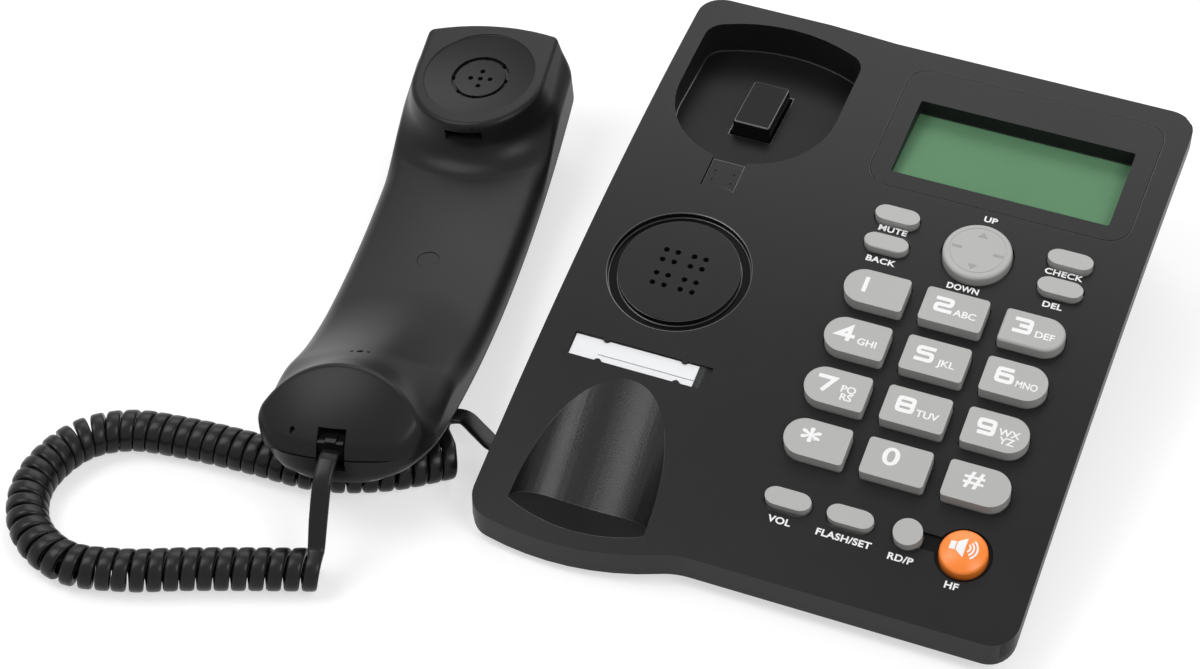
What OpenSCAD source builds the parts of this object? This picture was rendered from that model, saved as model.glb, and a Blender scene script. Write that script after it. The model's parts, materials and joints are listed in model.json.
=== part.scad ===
// Corded desk telephone: a wedge shaped base with an arched deck, keys and a display,
// and a banana shaped handset that lies off the hook at its left, on a curly cord.
// Millimetres, +Z up, front at -Y. The origin is on the table below the middle of the deck.

/* [Base] */
// Width of the base
base_w = 160; // [158:1:162]
// Length of the deck from front to rear, along its arch
deck_len = 198; // [197:0.5:199]
// Radius of the deck's arch
deck_r = 750; // [740:5:770]
// Slope of the deck at its middle, in degrees
deck_tilt = 10.4; // [10.3:0.1:10.6]
// Height of the deck's front edge above the table
front_z = 14; // [14:0.1:14.5]
// Thickness of the case walls
wall = 2.2; // [2:0.1:2.4]
// Height of the upper case's skirt
skirt_h = 5.6; // [5.2:0.1:5.8]
// Height of the lower case's rim under the skirt
rim_h = 2.1; // [1.8:0.1:2.2]
// Radius of the case corners, seen from above
corner_r = 8; // [6:0.5:9]
// How far the handset side bulges past the front edge
bulge_d = 6.9; // [6:0.1:7.5]
// Height of the rubber feet
foot_h = 2; // [1.8:0.1:2]

/* [Keys] */
// Width of a dial key
key_w = 18.8; // [18:0.1:19]
// Depth of a dial key, front to rear
key_d = 12; // [11.5:0.1:12.5]
// Distance between key columns
col_pitch = 23.8; // [23.4:0.1:24]
// Distance between key rows
row_pitch = 18; // [17.6:0.1:18.2]
// Height of a dial key above the deck
key_top = 3.6; // [3:0.1:4]
// Length of a pill shaped function key
pill_w = 13.6; // [13:0.1:14]
// Depth of a pill shaped function key
pill_d = 7.2; // [6.8:0.1:7.4]
// Height of the function keys above the deck
pill_top = 2.8; // [2.4:0.1:3.2]
// Diameter of the navigation disc
nav_dia = 20.6; // [20:0.1:21]
// Diameter of the redial key
redial_dia = 8.4; // [8:0.1:8.8]
// Diameter of the hands-free key
handsfree_dia = 13.8; // [13.4:0.1:14]
// How far a key travels when pressed
key_travel = 1.2; // [1:0.1:1.3]
// Gap between a key and the edge of its hole
key_gap = 0.35; // [0.3:0.05:0.45]

/* [Cradle] */
// Distance of the handset's middle line left of the base's middle
cradle_x = 48.7; // [48.5:0.1:49]
// Width of the ear well
well_w = 51.2; // [50.6:0.2:52]
// Height of the ear well's level floor above the table
well_z = 37.3; // [37:0.1:37.6]
// Width of the mouth scoop
scoop_w = 41.4; // [40.6:0.2:42]
// Length of the mouth scoop from its tip to its widest place
scoop_len = 45.9; // [45:0.1:46.5]
// Slope of the mouth scoop's bottom against the deck, in degrees
scoop_slope = 16; // [15:0.25:16]
// Width of the hook button
hook_w = 12.4; // [12:0.1:13]
// Length of the hook button
hook_len = 21.6; // [21:0.1:22]
// Height of the hook button above the well's floor
hook_up = 6.3; // [6:0.1:6.6]
// How far the hook button goes down
hook_travel = 4.5; // [4:0.1:4.7]

/* [Display and grille] */
// Width of the display bezel
bezel_w = 80.6; // [80:0.1:81]
// Depth of the display bezel, front to rear
bezel_d = 50.6; // [50:0.1:51]
// Width of the display window
window_w = 67.6; // [67:0.1:68]
// Depth of the display window, front to rear
window_d = 31; // [30.6:0.1:31.4]
// Height of the display's level face above the table
display_z = 43; // [42.8:0.1:43.2]
// Outer diameter of the ring round the loudspeaker grille
ring_dia = 42.8; // [42:0.2:43.4]
// Diameter of the grille disc inside the ring
grille_dia = 36.6; // [36:0.2:37.2]
// Diameter of a grille hole
grille_hole = 1.8; // [1.6:0.1:2]

/* [Handset] */
// Length of the handset
hs_len = 188.6; // [187:0.2:189]
// Width of the handset
hs_w = 52; // [51.4:0.2:52.4]
// Radius of the handset's curved seam, seen from the side
seam_r = 300; // [296:1:304]
// Depth of the back shell below the seam
back_depth = 9; // [8.8:0.1:9.2]
// Height of the grip above the seam
grip_up = 9; // [8.8:0.1:9.4]
// Thickness of the handset shells
shell_t = 2; // [1.8:0.1:2.1]
// Diameter of the dish in the ear face
ear_dish = 36; // [35:0.2:37]
// Angle of the handset on the table, in degrees
hs_turn = 7.7; // [7.5:0.1:7.9]
// Lift of the handset's mouth end, in degrees
hs_pitch = 3.4; // [3.3:0.1:3.8]
// Roll of the handset towards its left side, in degrees
hs_roll = 6; // [5.8:0.1:6.2]

/* [Curly cord] */
// Diameter of the cord's wire
cord_d = 3; // [2.8:0.1:3]
// Outer diameter of the curls
curl_d = 13; // [12.6:0.1:13.2]
// Distance between curls at the handset's end, where they are drawn open
open_pitch = 5.1; // [5:0.05:5.3]
// Distance between curls on the rest of the cord
curl_pitch = 4.3; // [4.25:0.05:4.5]

/* [Hidden] */
black = [0.09, 0.09, 0.095];
gloss_black = [0.04, 0.04, 0.045];
grey_key = [0.62, 0.62, 0.62];
orange_key = [0.85, 0.4, 0.12];
green_board = [0.08, 0.3, 0.16];
steel = [0.7, 0.7, 0.72];

// Steps of an arc in an outline, sides of a round piece and of the deck's wide arch
arc_steps = 8;
round_sides = 64;
arch_sides = 720;
// Cutting shapes: wider than the whole telephone, higher than the case and the handset,
// and how far they reach past a surface or down through a hollow piece
big = 400;
case_high = 90;
hs_high = 60;
over = 10;
through = 30;
// Least gaps: under a resting piece, between fixed pieces, between sliding pieces, and at the case seam
seat_gap = 0.05;
fit_gap = 0.15;
slide_gap = 0.4;
seam_gap = 0.4;

// The deck's arch, in the plane of Y and Z: slope, place and height at distance v from the front edge
function slope_at(v) = deck_tilt - (v - deck_len / 2) / deck_r * 180 / PI;
function y_at(v) = deck_r * (sin(deck_tilt) - sin(slope_at(v)));
function z_at(v) = mid_z + deck_r * (cos(slope_at(v)) - cos(deck_tilt));
mid_z = front_z - deck_r * (cos(slope_at(0)) - cos(deck_tilt));
arch_y = deck_r * sin(deck_tilt);
arch_z = mid_z - deck_r * cos(deck_tilt);
front_y = y_at(0);
rear_y = y_at(deck_len);

// Outline points: an arc, and a rectangle with its own radius at the left and the right ends
function arc(c, r, a0, a1, skip = 0, n = arc_steps) =
    [for (i = [skip : n]) c + r * [cos(a0 + (a1 - a0) * i / n), sin(a0 + (a1 - a0) * i / n)]];
function round_rect(w, d, rl, rr) = concat(
    arc([-w / 2 + rl, -d / 2 + rl], rl, 180, 270),
    arc([w / 2 - rr, -d / 2 + rr], rr, 270, 360),
    arc([w / 2 - rr, d / 2 - rr], rr, 0, 90),
    arc([-w / 2 + rl, d / 2 - rl], rl, 90, 180));

// The case outline, drawn in by e, or by another distance at the rear:
// the bulge is an arc that a hollow arc blends into the front edge
bulge_x = -54;
bulge_r = 98;
blend_r = 25;
bulge_y = front_y - bulge_d + bulge_r;
rear_step = 1.3;
rear_step_x = [-16, -38];
function case_outline(e, back = undef) = let (
    rear = rear_y - (is_undef(back) ? e : back),
    half = base_w / 2 - e,
    rc = corner_r - min(e, corner_r - 1),
    rb = bulge_r - e,
    rf = blend_r + e,
    cx = rc - half,
    cy = bulge_y - sqrt((rb - rc) ^ 2 - (cx - bulge_x) ^ 2),
    ca = 360 + atan2(cy - bulge_y, cx - bulge_x),
    fy = front_y + e - rf,
    fx = bulge_x + sqrt((rb + rf) ^ 2 - (fy - bulge_y) ^ 2),
    fa = 360 + atan2(fy - bulge_y, fx - bulge_x)) concat(
    arc([cx, cy], rc, 180, ca),
    arc([bulge_x, bulge_y], rb, ca, fa, 1),
    arc([fx, fy], rf, fa - 180, 90, 1),
    arc([half - rc, front_y + e + rc], rc, 270, 360),
    arc([half - rc, rear - rc], rc, 0, 90),
    [[rear_step_x[0], rear], [rear_step_x[1], rear + rear_step]],
    arc([rc - half, rear + rear_step - rc], rc, 90, 180));

// Places on the deck: local x, y along the arch and z square to it
module on_deck(x, v) {
    translate([x, y_at(v), z_at(v)])
        rotate([slope_at(v), 0, 0])
            children();
}
module slab(points, low, high) {
    translate([0, 0, low])
        linear_extrude(high - low)
            polygon(points);
}
module disc(r, low, high) {
    translate([0, 0, low])
        cylinder(r = r, h = high - low, $fn = round_sides);
}
module block(size, low) {
    translate([-size[0] / 2, -size[1] / 2, low])
        cube(size);
}
// Everything below the deck's arch, lowered by drop
module arch(drop) {
    translate([0, arch_y, arch_z])
        rotate([0, 90, 0])
            cylinder(r = deck_r - drop, h = 2 * base_w, center = true, $fn = arch_sides);
}

// Key layout: columns and rows of dial keys, then the function keys, as [x, v]
pad_x = 32.9;
pad_v = 98.4;
function col_x(c) = pad_x + (c - 1) * col_pitch;
function row_v(r) = pad_v - r * row_pitch;
side_keys = 26.5;
mute_at = [pad_x - side_keys, 127.8];
back_at = [pad_x - side_keys, 117.4];
check_at = [pad_x + side_keys, 127.8];
delete_at = [pad_x + side_keys, 117.4];
nav_at = [pad_x, 121.7];
volume_at = [7.3, 25.1];
flash_at = [25.7, 25.1];
redial_at = [42.5, 25];
handsfree_at = [58.9, 24];
PILLS = [mute_at, back_at, check_at, delete_at, volume_at, flash_at];
KEY_PLACES = concat([for (c = [0 : 2]) for (r = [0 : 3]) [col_x(c), row_v(r)]], PILLS,
    [redial_at, handsfree_at, nav_at]);
handsfree_top = 4;
handsfree_dome = 14;
nav_top = 3;
nav_groove_r = 8.6;
nav_groove = [0.6, 0.3];
key_corner = 1.2;
end_flat = 0.1;
flange = 0.8;
flange_t = 1.4;
flange_gap = 0.3;
flange_low = wall + flange_gap + flange_t;
hole_low = wall + 2;
// Lowest place of a pressed key below the deck, with room under it
pressed_low = flange_low + key_travel + flange_gap;
// Round ends: the outer columns of dial keys have one round end each
function key_end(c, outer) = c == outer ? key_d / 2 - end_flat : key_corner;
function key_points(c, g) = round_rect(key_w + 2 * g, key_d + 2 * g, key_end(c, 0) + g, key_end(c, 2) + g);
pill_end = pill_d / 2 - end_flat;
function pill_points(g) = round_rect(pill_w + 2 * g, pill_d + 2 * g, pill_end + g, pill_end + g);
// The sunk channel from the redial key to a ring round the hands-free key
channel_w = 5.2;
channel_deep = 0.9;
channel_ring = 1.3;

// Pieces inside: the board hangs on posts, and screws from below hold the case halves together
board_v = 76;
board_drop = 8.8;
board_t = 1.6;
board_x = [-6, 69.5];
board_y = [-63, 57];
membrane_x = [-3.5, 68.5];
membrane_y = [-61, 56.8];
sheet_t = 0.6;
pad_r = 3.2;
POSTS = [[18.5, 122], [48, 122], [9, 34.5], [45, 34.5]];
post_r = 2;
BOSSES = [[46, 36.7], [50, -85], [-15, -80], [-15, 60]];
boss_r = 3.2;
boss_room = 1;
boss_low = 9;
screw_r = 1.45;
screw_gap = 0.2;
screw_head_r = 2.9;
screw_head_h = 2;
screw_len = 11;
screw_low = foot_h + screw_head_h;
head_top = screw_low + 2 * screw_gap;
board_screw_r = 0.95;
board_head = [2, 1.4];
board_screw_up = 3;
FEET = [[-34, -84], [34, -84], [-46, 84], [46, 84]];
foot_r = 6;
foot_sunk = 0.8;

// The lower case's tapered sides: planes from the rim down to a narrower bottom at the rear.
// The left one is steeper and further out, because the ear well reaches close to that edge.
floor_low = foot_h;
tub_inset = 5;
rear_inset = 1.6;
rim_inset = 0.3;
rim_low = skirt_h + seam_gap + rim_h;
right_side = [74, 58];
left_side = [78.4, 71];
function side_front(side) = [side[0], front_y, z_at(0) - rim_low];
function side_cross(side) = -cross([0, rear_y - front_y, z_at(deck_len) - z_at(0)],
    [side[1], rear_y, floor_low] - side_front(side));
function side_normal(side) = side_cross(side) / norm(side_cross(side));

function tub_outline(e) = [for (p = case_outline(tub_inset + e, rear_inset + e))
    [p[0] * base_w / (base_w - 2 * tub_inset - 2 * e), p[1]]];

// The ear well's outline: a half circle in front, a shallow arc and two corners at the rear
well_v = 163;
well_half = well_w / 2;
well_mid = -4;
well_rear = 30;
well_rear_r = 50;
well_corner = 7;
well_wall = 1.2;
function well_points(g) = let (
    half = well_half + g,
    rc = well_corner + g,
    rr = well_rear_r + g,
    cx = half - rc,
    cy = well_rear - well_rear_r + sqrt((rr - rc) ^ 2 - cx ^ 2),
    ca = atan2(cy - well_rear + well_rear_r, cx)) concat(
    arc([0, well_mid], half, 180, 360, 0, 3 * arc_steps),
    arc([cx, cy], rc, 0, ca),
    arc([0, well_rear - well_rear_r], rr, ca, 180 - ca, 1),
    arc([-cx, cy], rc, 180 - ca, 180, 1));

// The mouth scoop: an oval trough that sinks towards the front, ended by a cone
scoop_v = 26;
scoop_mid = -23;
scoop_deep = scoop_len * sin(scoop_slope);
scoop_cone_y = 21.5;
scoop_cone_r = 50;
scoop_cone_lean = 13 / 11;
scoop_cone_low = -16;
scoop_cone_h = 24;
scoop_cone_wall = 1.4;
scoop_sink = 0.35;
scoop_steps = 48;
function scoop_cone(z, g) = scoop_cone_r + z * scoop_cone_lean + scoop_cone_wall * g;
function oval(a, b) = [for (i = [0 : scoop_steps - 1])
    [a * cos(360 * i / scoop_steps), b * sin(360 * i / scoop_steps)]];

// Places of the other deck features
hook_v = 163.5;
tab_v = 127.4;
tab_w = 10.4;
tab_d = 10.8;
tab_t = 2;
tab_drop = 0.6;
tab_sag = 1.1;
tab_arc_r = end_arc(tab_sag, tab_w / 2);
tab_rear = well_v + well_mid - well_half - tab_v - fit_gap;
tab_dots = [3, 1.8];
tab_dot_r = 0.35;
tab_boss_h = 5;
// The tab's outline: its rear edge is at the ear well, and the front one is a hollow arc
function tab_points(g, rear) = let (
    half = tab_w / 2 + g,
    r = tab_arc_r - g,
    b = acos(half / r)) concat(
    [[half, rear], [-half, rear]],
    arc([0, tab_sag - tab_d / 2 - tab_arc_r], r, 180 - b, b));
speaker_v = 89.1;
ring_deep = 2.4;
grille_t = 4.4;
speaker_h = 5;
magnet_h = 6;
hole_near = 2.56;
hole_far = 6.2;
label_v = 55.9;
label_w = 42.8;
label_d = 7.8;
label_deep = 0.9;
label_corner = 0.5;
card_w = 40.4;
card_d = 7.2;
card_t = 0.3;
cover_t = 0.5;
card_x = (card_w - label_w + label_d - card_d) / 2;
nub_r = 1.1;
NUBS = [-0.27, 0.33];
bezel_x = 32.4;
bezel_v = 165;
bezel_corner = 7;
bezel_t = 1.2;
window_back = -4.2;
neck_rim = 2.2;
neck_corner = 1;
window_corner = 0.8;
lens_t = 1;
panel_t = 2.4;

// Jacks: a 4 contact one at the left for the handset cord and a 6 contact one at the rear for the line
jack_y = -71;
jack_z = 9;
jack_x = -75.5;
jack_body = [9.8, 10.4, 8.6];
plug_w = 7.6;
plug_h = 6.4;
plug_len = 13;
plug_in = 8.4;
socket_gap = 0.15;
socket_end = 0.3;
jack_gap = 0.1;
jack_room = 0.6;
plug_latch = [3.2, 4, 0.5];
base_plug_x = jack_x - plug_len + plug_in;
line_x = 30;
line_z = 13;
line_body = [14, 14, 12];
line_hole = [9.8, 10, 7];
line_y = rear_y - rear_inset;

// The handset's own frame: y along it from mouth to ear, z up from the middle of its seam
hs_half = hs_len / 2;
hs_place = [-126.5, -19.4];
back_crown = 52;
// The round back just touches the table
hs_z = back_crown + (seam_r + back_depth - back_crown) * sqrt(1 - (sin(hs_roll) * cos(hs_pitch)) ^ 2)
    - seam_r * cos(hs_pitch) * cos(hs_roll) + 0.1;
function turn_x(p, a) = [p[0], p[1] * cos(a) - p[2] * sin(a), p[1] * sin(a) + p[2] * cos(a)];
function turn_y(p, a) = [p[0] * cos(a) + p[2] * sin(a), p[1], p[2] * cos(a) - p[0] * sin(a)];
function turn_z(p, a) = [p[0] * cos(a) - p[1] * sin(a), p[0] * sin(a) + p[1] * cos(a), p[2]];
function hs_point(p) = [hs_place[0], hs_place[1], hs_z]
    + turn_z(turn_x(turn_y(p, -hs_roll), -hs_pitch), hs_turn);
module in_handset() {
    translate([hs_place[0], hs_place[1], hs_z])
        rotate([0, 0, hs_turn])
            rotate([-hs_pitch, 0, 0])
                rotate([0, -hs_roll, 0])
                    children();
}
function seam_z(y) = seam_r - sqrt(seam_r ^ 2 - y ^ 2);
hs_ear_sag = 5;
hs_mouth_sag = 7;
hs_ear_corner = 4;
hs_mouth_corner = 13;
hs_shell_gap = 0.3;
side_over = 2;
grip_side = 3;
grip_crown = 1.5;
// The ear block: its tilted face from a front edge at [y, z], and sides that spread by a draft per depth
ear_front = [49.5, 26.3];
ear_tilt = 9;
ear_r = 21.3;
ear_draft = 0.3;
ear_deep = 24;
ear_mid = 22.8;
ear_slot = [12, 3];
ear_slot_drop = 4.3;
dish_deep = 2.2;
ear_ring_r = 9.3;
ear_ring_w = 1.2;
ear_ring_deep = 0.8;
ear_ring_holes = 8;
ear_hole_at = 3.2;
ear_hole_r = 0.8;
ridge = [-72.3, 32.3];
arch_slope = 32.5;
mouth_r = 27;
end_ball_r = 70;
end_ball = [-42.5, -31];
plug_hole_y = 3.8;
screw_plug_r = 3.3;
screw_plug_sunk = 0.1;
// The screw that joins the shells in a boss on each: its seat and tip, its sizes and the gap between the bosses
screw_seat = grip_up - 4;
hs_screw_tip = 4.2 - back_depth;
hs_screw_r = 1.35;
hs_screw_head = [2.6, 1.6];
hs_boss_gap = 1;
front_boss_r = 4.6;
back_boss_r = 4;
mic_y = -58.7;
mic_hole_at = 2.2;
mic_hole_r = 0.6;
// Room round the handset's plug: at its sides, below and above
plug_room = [0.4, 1.7, 2.5];
hs_plug_z = 16.2;
hs_jack_y = -86;
hs_jack_body = [10.4, 12, 9];
hs_plug_y = -92;

// The curly cord's route: the axis of its curls on the table, and the two tails that join the plugs
curl_z = curl_d / 2 + 0.2;
CURL_ROUTE = [[-112, -132], [-128, -138], [-146, -145], [-163, -152], [-180, -155], [-195, -147],
    [-202, -131], [-198, -113], [-186, -103], [-168, -99.5], [-148, -98], [-127, -97], [-109, -90], [-94, -79]];
HANDSET_TAIL = [[-114.8, -119, 28], [-113.8, -124.5, 20.5], [-112.8, -129, 13.5]];
BASE_TAIL = [[-99, -73, 11], [-100, -67.5, 10], [-95.5, -64.5, 9.3], [-89.5, -67.5, 9]];
bend_spread = 2;
open_run = 80;
axis_steps = 24;
curl_rings = 8;
cord_sides = 6;
tail_steps = 3;

// A smooth curve through points, and its points with n steps between each pair
function between(p, i, t) = let (
    a = p[max(i - 1, 0)],
    b = p[i],
    c = p[i + 1],
    d = p[min(i + 2, len(p) - 1)])
    b + t / 2 * (c - a + t * (2 * a - 5 * b + 4 * c - d + t * (3 * b - a - 3 * c + d)));
function smooth(p, n, last) = [for (i = [0 : last - 1]) for (k = [0 : n - 1]) between(p, i, k / n)];
function unit(v) = v / norm(v);
axis_points = concat(smooth(CURL_ROUTE, axis_steps, len(CURL_ROUTE) - 1), [CURL_ROUTE[len(CURL_ROUTE) - 1]]);
axis_count = len(axis_points) - 1;
axis_along = [for (i = 0, s = 0; i <= axis_count;
    s = s + norm(axis_points[min(i + 1, axis_count)] - axis_points[i]),
    i = i + 1) s];
// Heading of each step, and how many curls lie before it: they spread where the cord is drawn open or bends
function pitch_at(s) = curl_pitch + (open_pitch - curl_pitch) * max(0, 1 - s / open_run);
function heading(i) = unit(axis_points[min(i + 1, axis_count)] - axis_points[max(min(i, axis_count - 1), 0)]);
function bend(i) = let (
    a = heading(max(i - 2, 0)),
    b = heading(min(i + 2, axis_count - 1)))
    acos(min(1, a * b)) * PI / 180 / (axis_along[min(i + 2, axis_count)] - axis_along[max(i - 2, 0)]);
curls_before = [for (i = 0, c = 0; i <= axis_count;
    c = c + (axis_along[min(i + 1, axis_count)] - axis_along[i])
        / (pitch_at(axis_along[i]) * (1 + bend_spread * bend(i))),
    i = i + 1) c];
curl_count = round(curls_before[axis_count]);
curl_scale = curls_before[axis_count] / curl_count;
step_of_curl = [for (i = [0 : axis_count]) [curls_before[i] / curl_scale, i]];
axis_x = [for (i = [0 : axis_count]) [i, axis_points[i][0]]];
axis_y = [for (i = [0 : axis_count]) [i, axis_points[i][1]]];
function radial(k) = let (
    i = lookup(k / curl_rings, step_of_curl),
    t = heading(floor(i)),
    a = -360 * k / curl_rings) [t[1] * sin(a), -t[0] * sin(a), cos(a)];
function curl_point(k) = let (i = lookup(k / curl_rings, step_of_curl))
    [lookup(i, axis_x), lookup(i, axis_y), curl_z] + (curl_d - cord_d) / 2 * radial(k);
curl_points = [for (k = [0 : curl_count * curl_rings]) curl_point(k)];
curl_last = curl_count * curl_rings;

// The whole centre line: straight out of the handset's plug, down, round the curls, into the base's plug
tail_straight = cord_d + 0.4;
tail_start = [hs_point([0, hs_plug_y, hs_plug_z]), hs_point([0, hs_plug_y - tail_straight, hs_plug_z])];
tail_end = [[base_plug_x - tail_straight, jack_y, jack_z], [base_plug_x, jack_y, jack_z]];
first_tail = concat([tail_start[1]], HANDSET_TAIL, [curl_points[0], curl_points[1]]);
last_tail = concat([curl_points[curl_last - 1], curl_points[curl_last]], BASE_TAIL, tail_end);
first_run = concat([tail_start[0]], smooth(first_tail, tail_steps, len(first_tail) - 2));
last_run = concat([for (i = [1 : len(last_tail) - 3]) for (k = [i == 1 ? 1 : 0 : tail_steps - 1])
    between(last_tail, i, k / tail_steps)], tail_end);
cord_line = concat(first_run, curl_points, last_run);
cord_count = len(cord_line);
// Side direction of each ring: outwards on a curl, upwards on a tail
function ring_side(i) = let (k = i - len(first_run))
    k >= 0 && k <= curl_last ? radial(k) : [0, 0, 1];
function cord_ring(i) = let (
    t = i == 0 ? unit(cord_line[1] - cord_line[0]) : i == cord_count - 1 ?
        unit(cord_line[i] - cord_line[i - 1]) : unit(cord_line[i + 1] - cord_line[i - 1]),
    s = ring_side(i),
    u = unit(s - (s * t) * t),
    w = cross(t, u))
    [for (j = [0 : cord_sides - 1]) cord_line[i] + cord_d / 2 * (cos(360 * j / cord_sides) * u
        + sin(360 * j / cord_sides) * w)];
function cord_faces() = concat(
    [for (i = [0 : cord_count - 2]) for (j = [0 : cord_sides - 1]) for (h = [0, 1])
        let (a = i * cord_sides + j, b = i * cord_sides + (j + 1) % cord_sides)
        h == 0 ? [a, b, a + cord_sides] : [b, b + cord_sides, a + cord_sides]],
    [for (j = [1 : cord_sides - 2]) [0, j + 1, j]],
    [for (j = [1 : cord_sides - 2]) let (a = (cord_count - 1) * cord_sides) [a, a + j, a + j + 1]]);
// Least distance between turns of the cord, measured between the centres of its rings
near_rings = 5;
cord_self_gap = min([for (i = [0 : cord_count - 1]) for (j = [i + near_rings : 1 : cord_count - 1])
    norm(cord_line[i] - cord_line[j])]) - cord_d;
cord_length = [for (i = 0, s = 0; i < cord_count;
    s = s + norm(cord_line[min(i + 1, cord_count - 1)] - cord_line[i]),
    i = i + 1) s][cord_count - 1];
union() {  // handset_cord
    echo(cord_self_gap = cord_self_gap, cord_length = cord_length, curls = curl_count);
}

// Hollows in the deck
module well_prism(g) {
    on_deck(-cradle_x, well_v)
        slab(well_points(g), -through, over);
}
module well_cut() {
    intersection() {
        well_prism(0);
        block([big, big, big], well_z);
    }
}
module well_tub() {
    intersection() {
        well_prism(well_wall);
        block([big, big, big], well_z - wall);
        arch(wall / 2);
    }
}
module scoop_shape(g) {
    on_deck(-cradle_x, scoop_v)
        intersection() {
            translate([0, scoop_mid, -scoop_sink])
                rotate([scoop_slope, 0, 0])
                    rotate([90, 0, 0])
                        linear_extrude(big / 2, center = true)
                            polygon(oval(scoop_w / 2 + g, scoop_deep + g));
            translate([0, scoop_cone_y, scoop_cone_low - g])
                cylinder(h = scoop_cone_h, r1 = scoop_cone(scoop_cone_low - g, g),
                    r2 = scoop_cone(scoop_cone_low - g + scoop_cone_h, g), $fn = 2 * round_sides);
        }
}
module scoop_tub() {
    intersection() {
        scoop_shape(wall);
        arch(wall / 2);
    }
}
module speaker_boss() {
    on_deck(-cradle_x, speaker_v)
        disc(ring_dia / 2 + wall, -grille_t, -wall / 2);
}
module speaker_cut() {
    on_deck(-cradle_x, speaker_v) {
        difference() {
            disc(ring_dia / 2, -ring_deep, over);
            disc(grille_dia / 2, -ring_deep - 1, over + 1);
        }
        for (x = [-hole_far, -hole_near, hole_near, hole_far]) {
            for (y = [-hole_far, -hole_near, hole_near, hole_far]) {
                translate([x, y, 0])
                    disc(grille_hole / 2, -grille_t - 1, over);
            }
        }
    }
}
module tab_boss() {
    on_deck(-cradle_x, tab_v)
        block([tab_w + 2 * wall, tab_d + 2 * wall, tab_boss_h], -wall / 2 - tab_boss_h);
}
module tab_cut() {
    on_deck(-cradle_x, tab_v)
        slab(tab_points(fit_gap, tab_rear + wall), -tab_t - tab_drop, over);
}
module label_cut() {
    on_deck(-cradle_x, label_v)
        difference() {
            slab(round_rect(label_w, label_d, label_corner, label_corner), -label_deep, over);
            label_nubs(0);
        }
}
// Nubs at the long edges of the label's recess hold the card and its cover
module label_nubs(g) {
    for (f = NUBS) {
        for (y = [-1, 1]) {
            translate([card_x + f * card_w, y * (label_d + nub_r / 2) / 2, 0])
                disc(nub_r + g, -label_deep - 1, over + 1);
        }
    }
}
module bezel_neck(g, low) {
    translate([0, window_back, 0])
        slab(round_rect(window_w + 2 * (neck_rim + g), window_d + 2 * (neck_rim + g),
            neck_corner + g, neck_corner + g), low, over);
}
module key_holes() {
    for (c = [0 : 2]) {
        for (r = [0 : 3]) {
            on_deck(col_x(c), row_v(r))
                slab(key_points(c, key_gap), -hole_low, over);
        }
    }
    for (p = PILLS) {
        on_deck(p[0], p[1])
            slab(pill_points(key_gap), -hole_low, over);
    }
    on_deck(redial_at[0], redial_at[1])
        disc(redial_dia / 2 + key_gap, -hole_low, over);
    on_deck(handsfree_at[0], handsfree_at[1])
        disc(handsfree_dia / 2 + key_gap, -hole_low, over);
    on_deck(nav_at[0], nav_at[1])
        disc(nav_dia / 2 + 2 * key_gap, -hole_low, over);
}
module call_channel() {
    on_deck((redial_at[0] + handsfree_at[0]) / 2, redial_at[1])
        block([handsfree_at[0] - redial_at[0], channel_w, over], -channel_deep);
    on_deck(handsfree_at[0], handsfree_at[1])
        disc(handsfree_dia / 2 + channel_ring, -channel_deep, over);
}
module foot_places() {
    for (p = FEET) {
        translate([p[0], p[1], 0])
            children();
    }
}
module boss_places() {
    for (p = BOSSES) {
        translate([p[0], p[1], 0])
            children();
    }
}
module post_places() {
    for (p = POSTS) {
        translate([p[0], 0, 0])
            on_deck(0, board_v)
                translate([0, p[1] - board_v, 0])
                    children();
    }
}

// Base pieces
module upper_case() {
    color(black)
        difference() {
            union() {
                difference() {
                    intersection() {
                        slab(case_outline(0), 0, case_high);
                        arch(0);
                    }
                    arch(skirt_h);
                    intersection() {
                        slab(case_outline(wall), -1, case_high + 1);
                        arch(wall);
                    }
                }
                well_tub();
                scoop_tub();
                speaker_boss();
                tab_boss();
                intersection() {
                    boss_places()
                        disc(boss_r, boss_low, case_high);
                    arch(wall / 2);
                }
                post_places()
                    disc(post_r, -board_drop, -wall - seat_gap);
            }
            well_cut();
            scoop_shape(0);
            speaker_cut();
            tab_cut();
            label_cut();
            key_holes();
            call_channel();
            on_deck(bezel_x, bezel_v)
                bezel_neck(fit_gap, -through);
            difference() {
                on_deck(bezel_x, bezel_v)
                    slab(round_rect(bezel_w + 2 * fit_gap, bezel_d + 2 * fit_gap,
                        bezel_corner, bezel_corner), -over, over);
                arch(bezel_t + seat_gap);
            }
            translate([-cradle_x, y_at(hook_v), 0])
                block([hook_w + 2 * slide_gap, hook_len + 2 * slide_gap, big], well_z - over);
            boss_places()
                disc(screw_r + seat_gap, boss_low - 1, screw_low + screw_len + 1);
            post_places()
                disc(board_screw_r + seat_gap, -board_drop - 1, -board_drop + board_screw_up + 1);
        }
}
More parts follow.
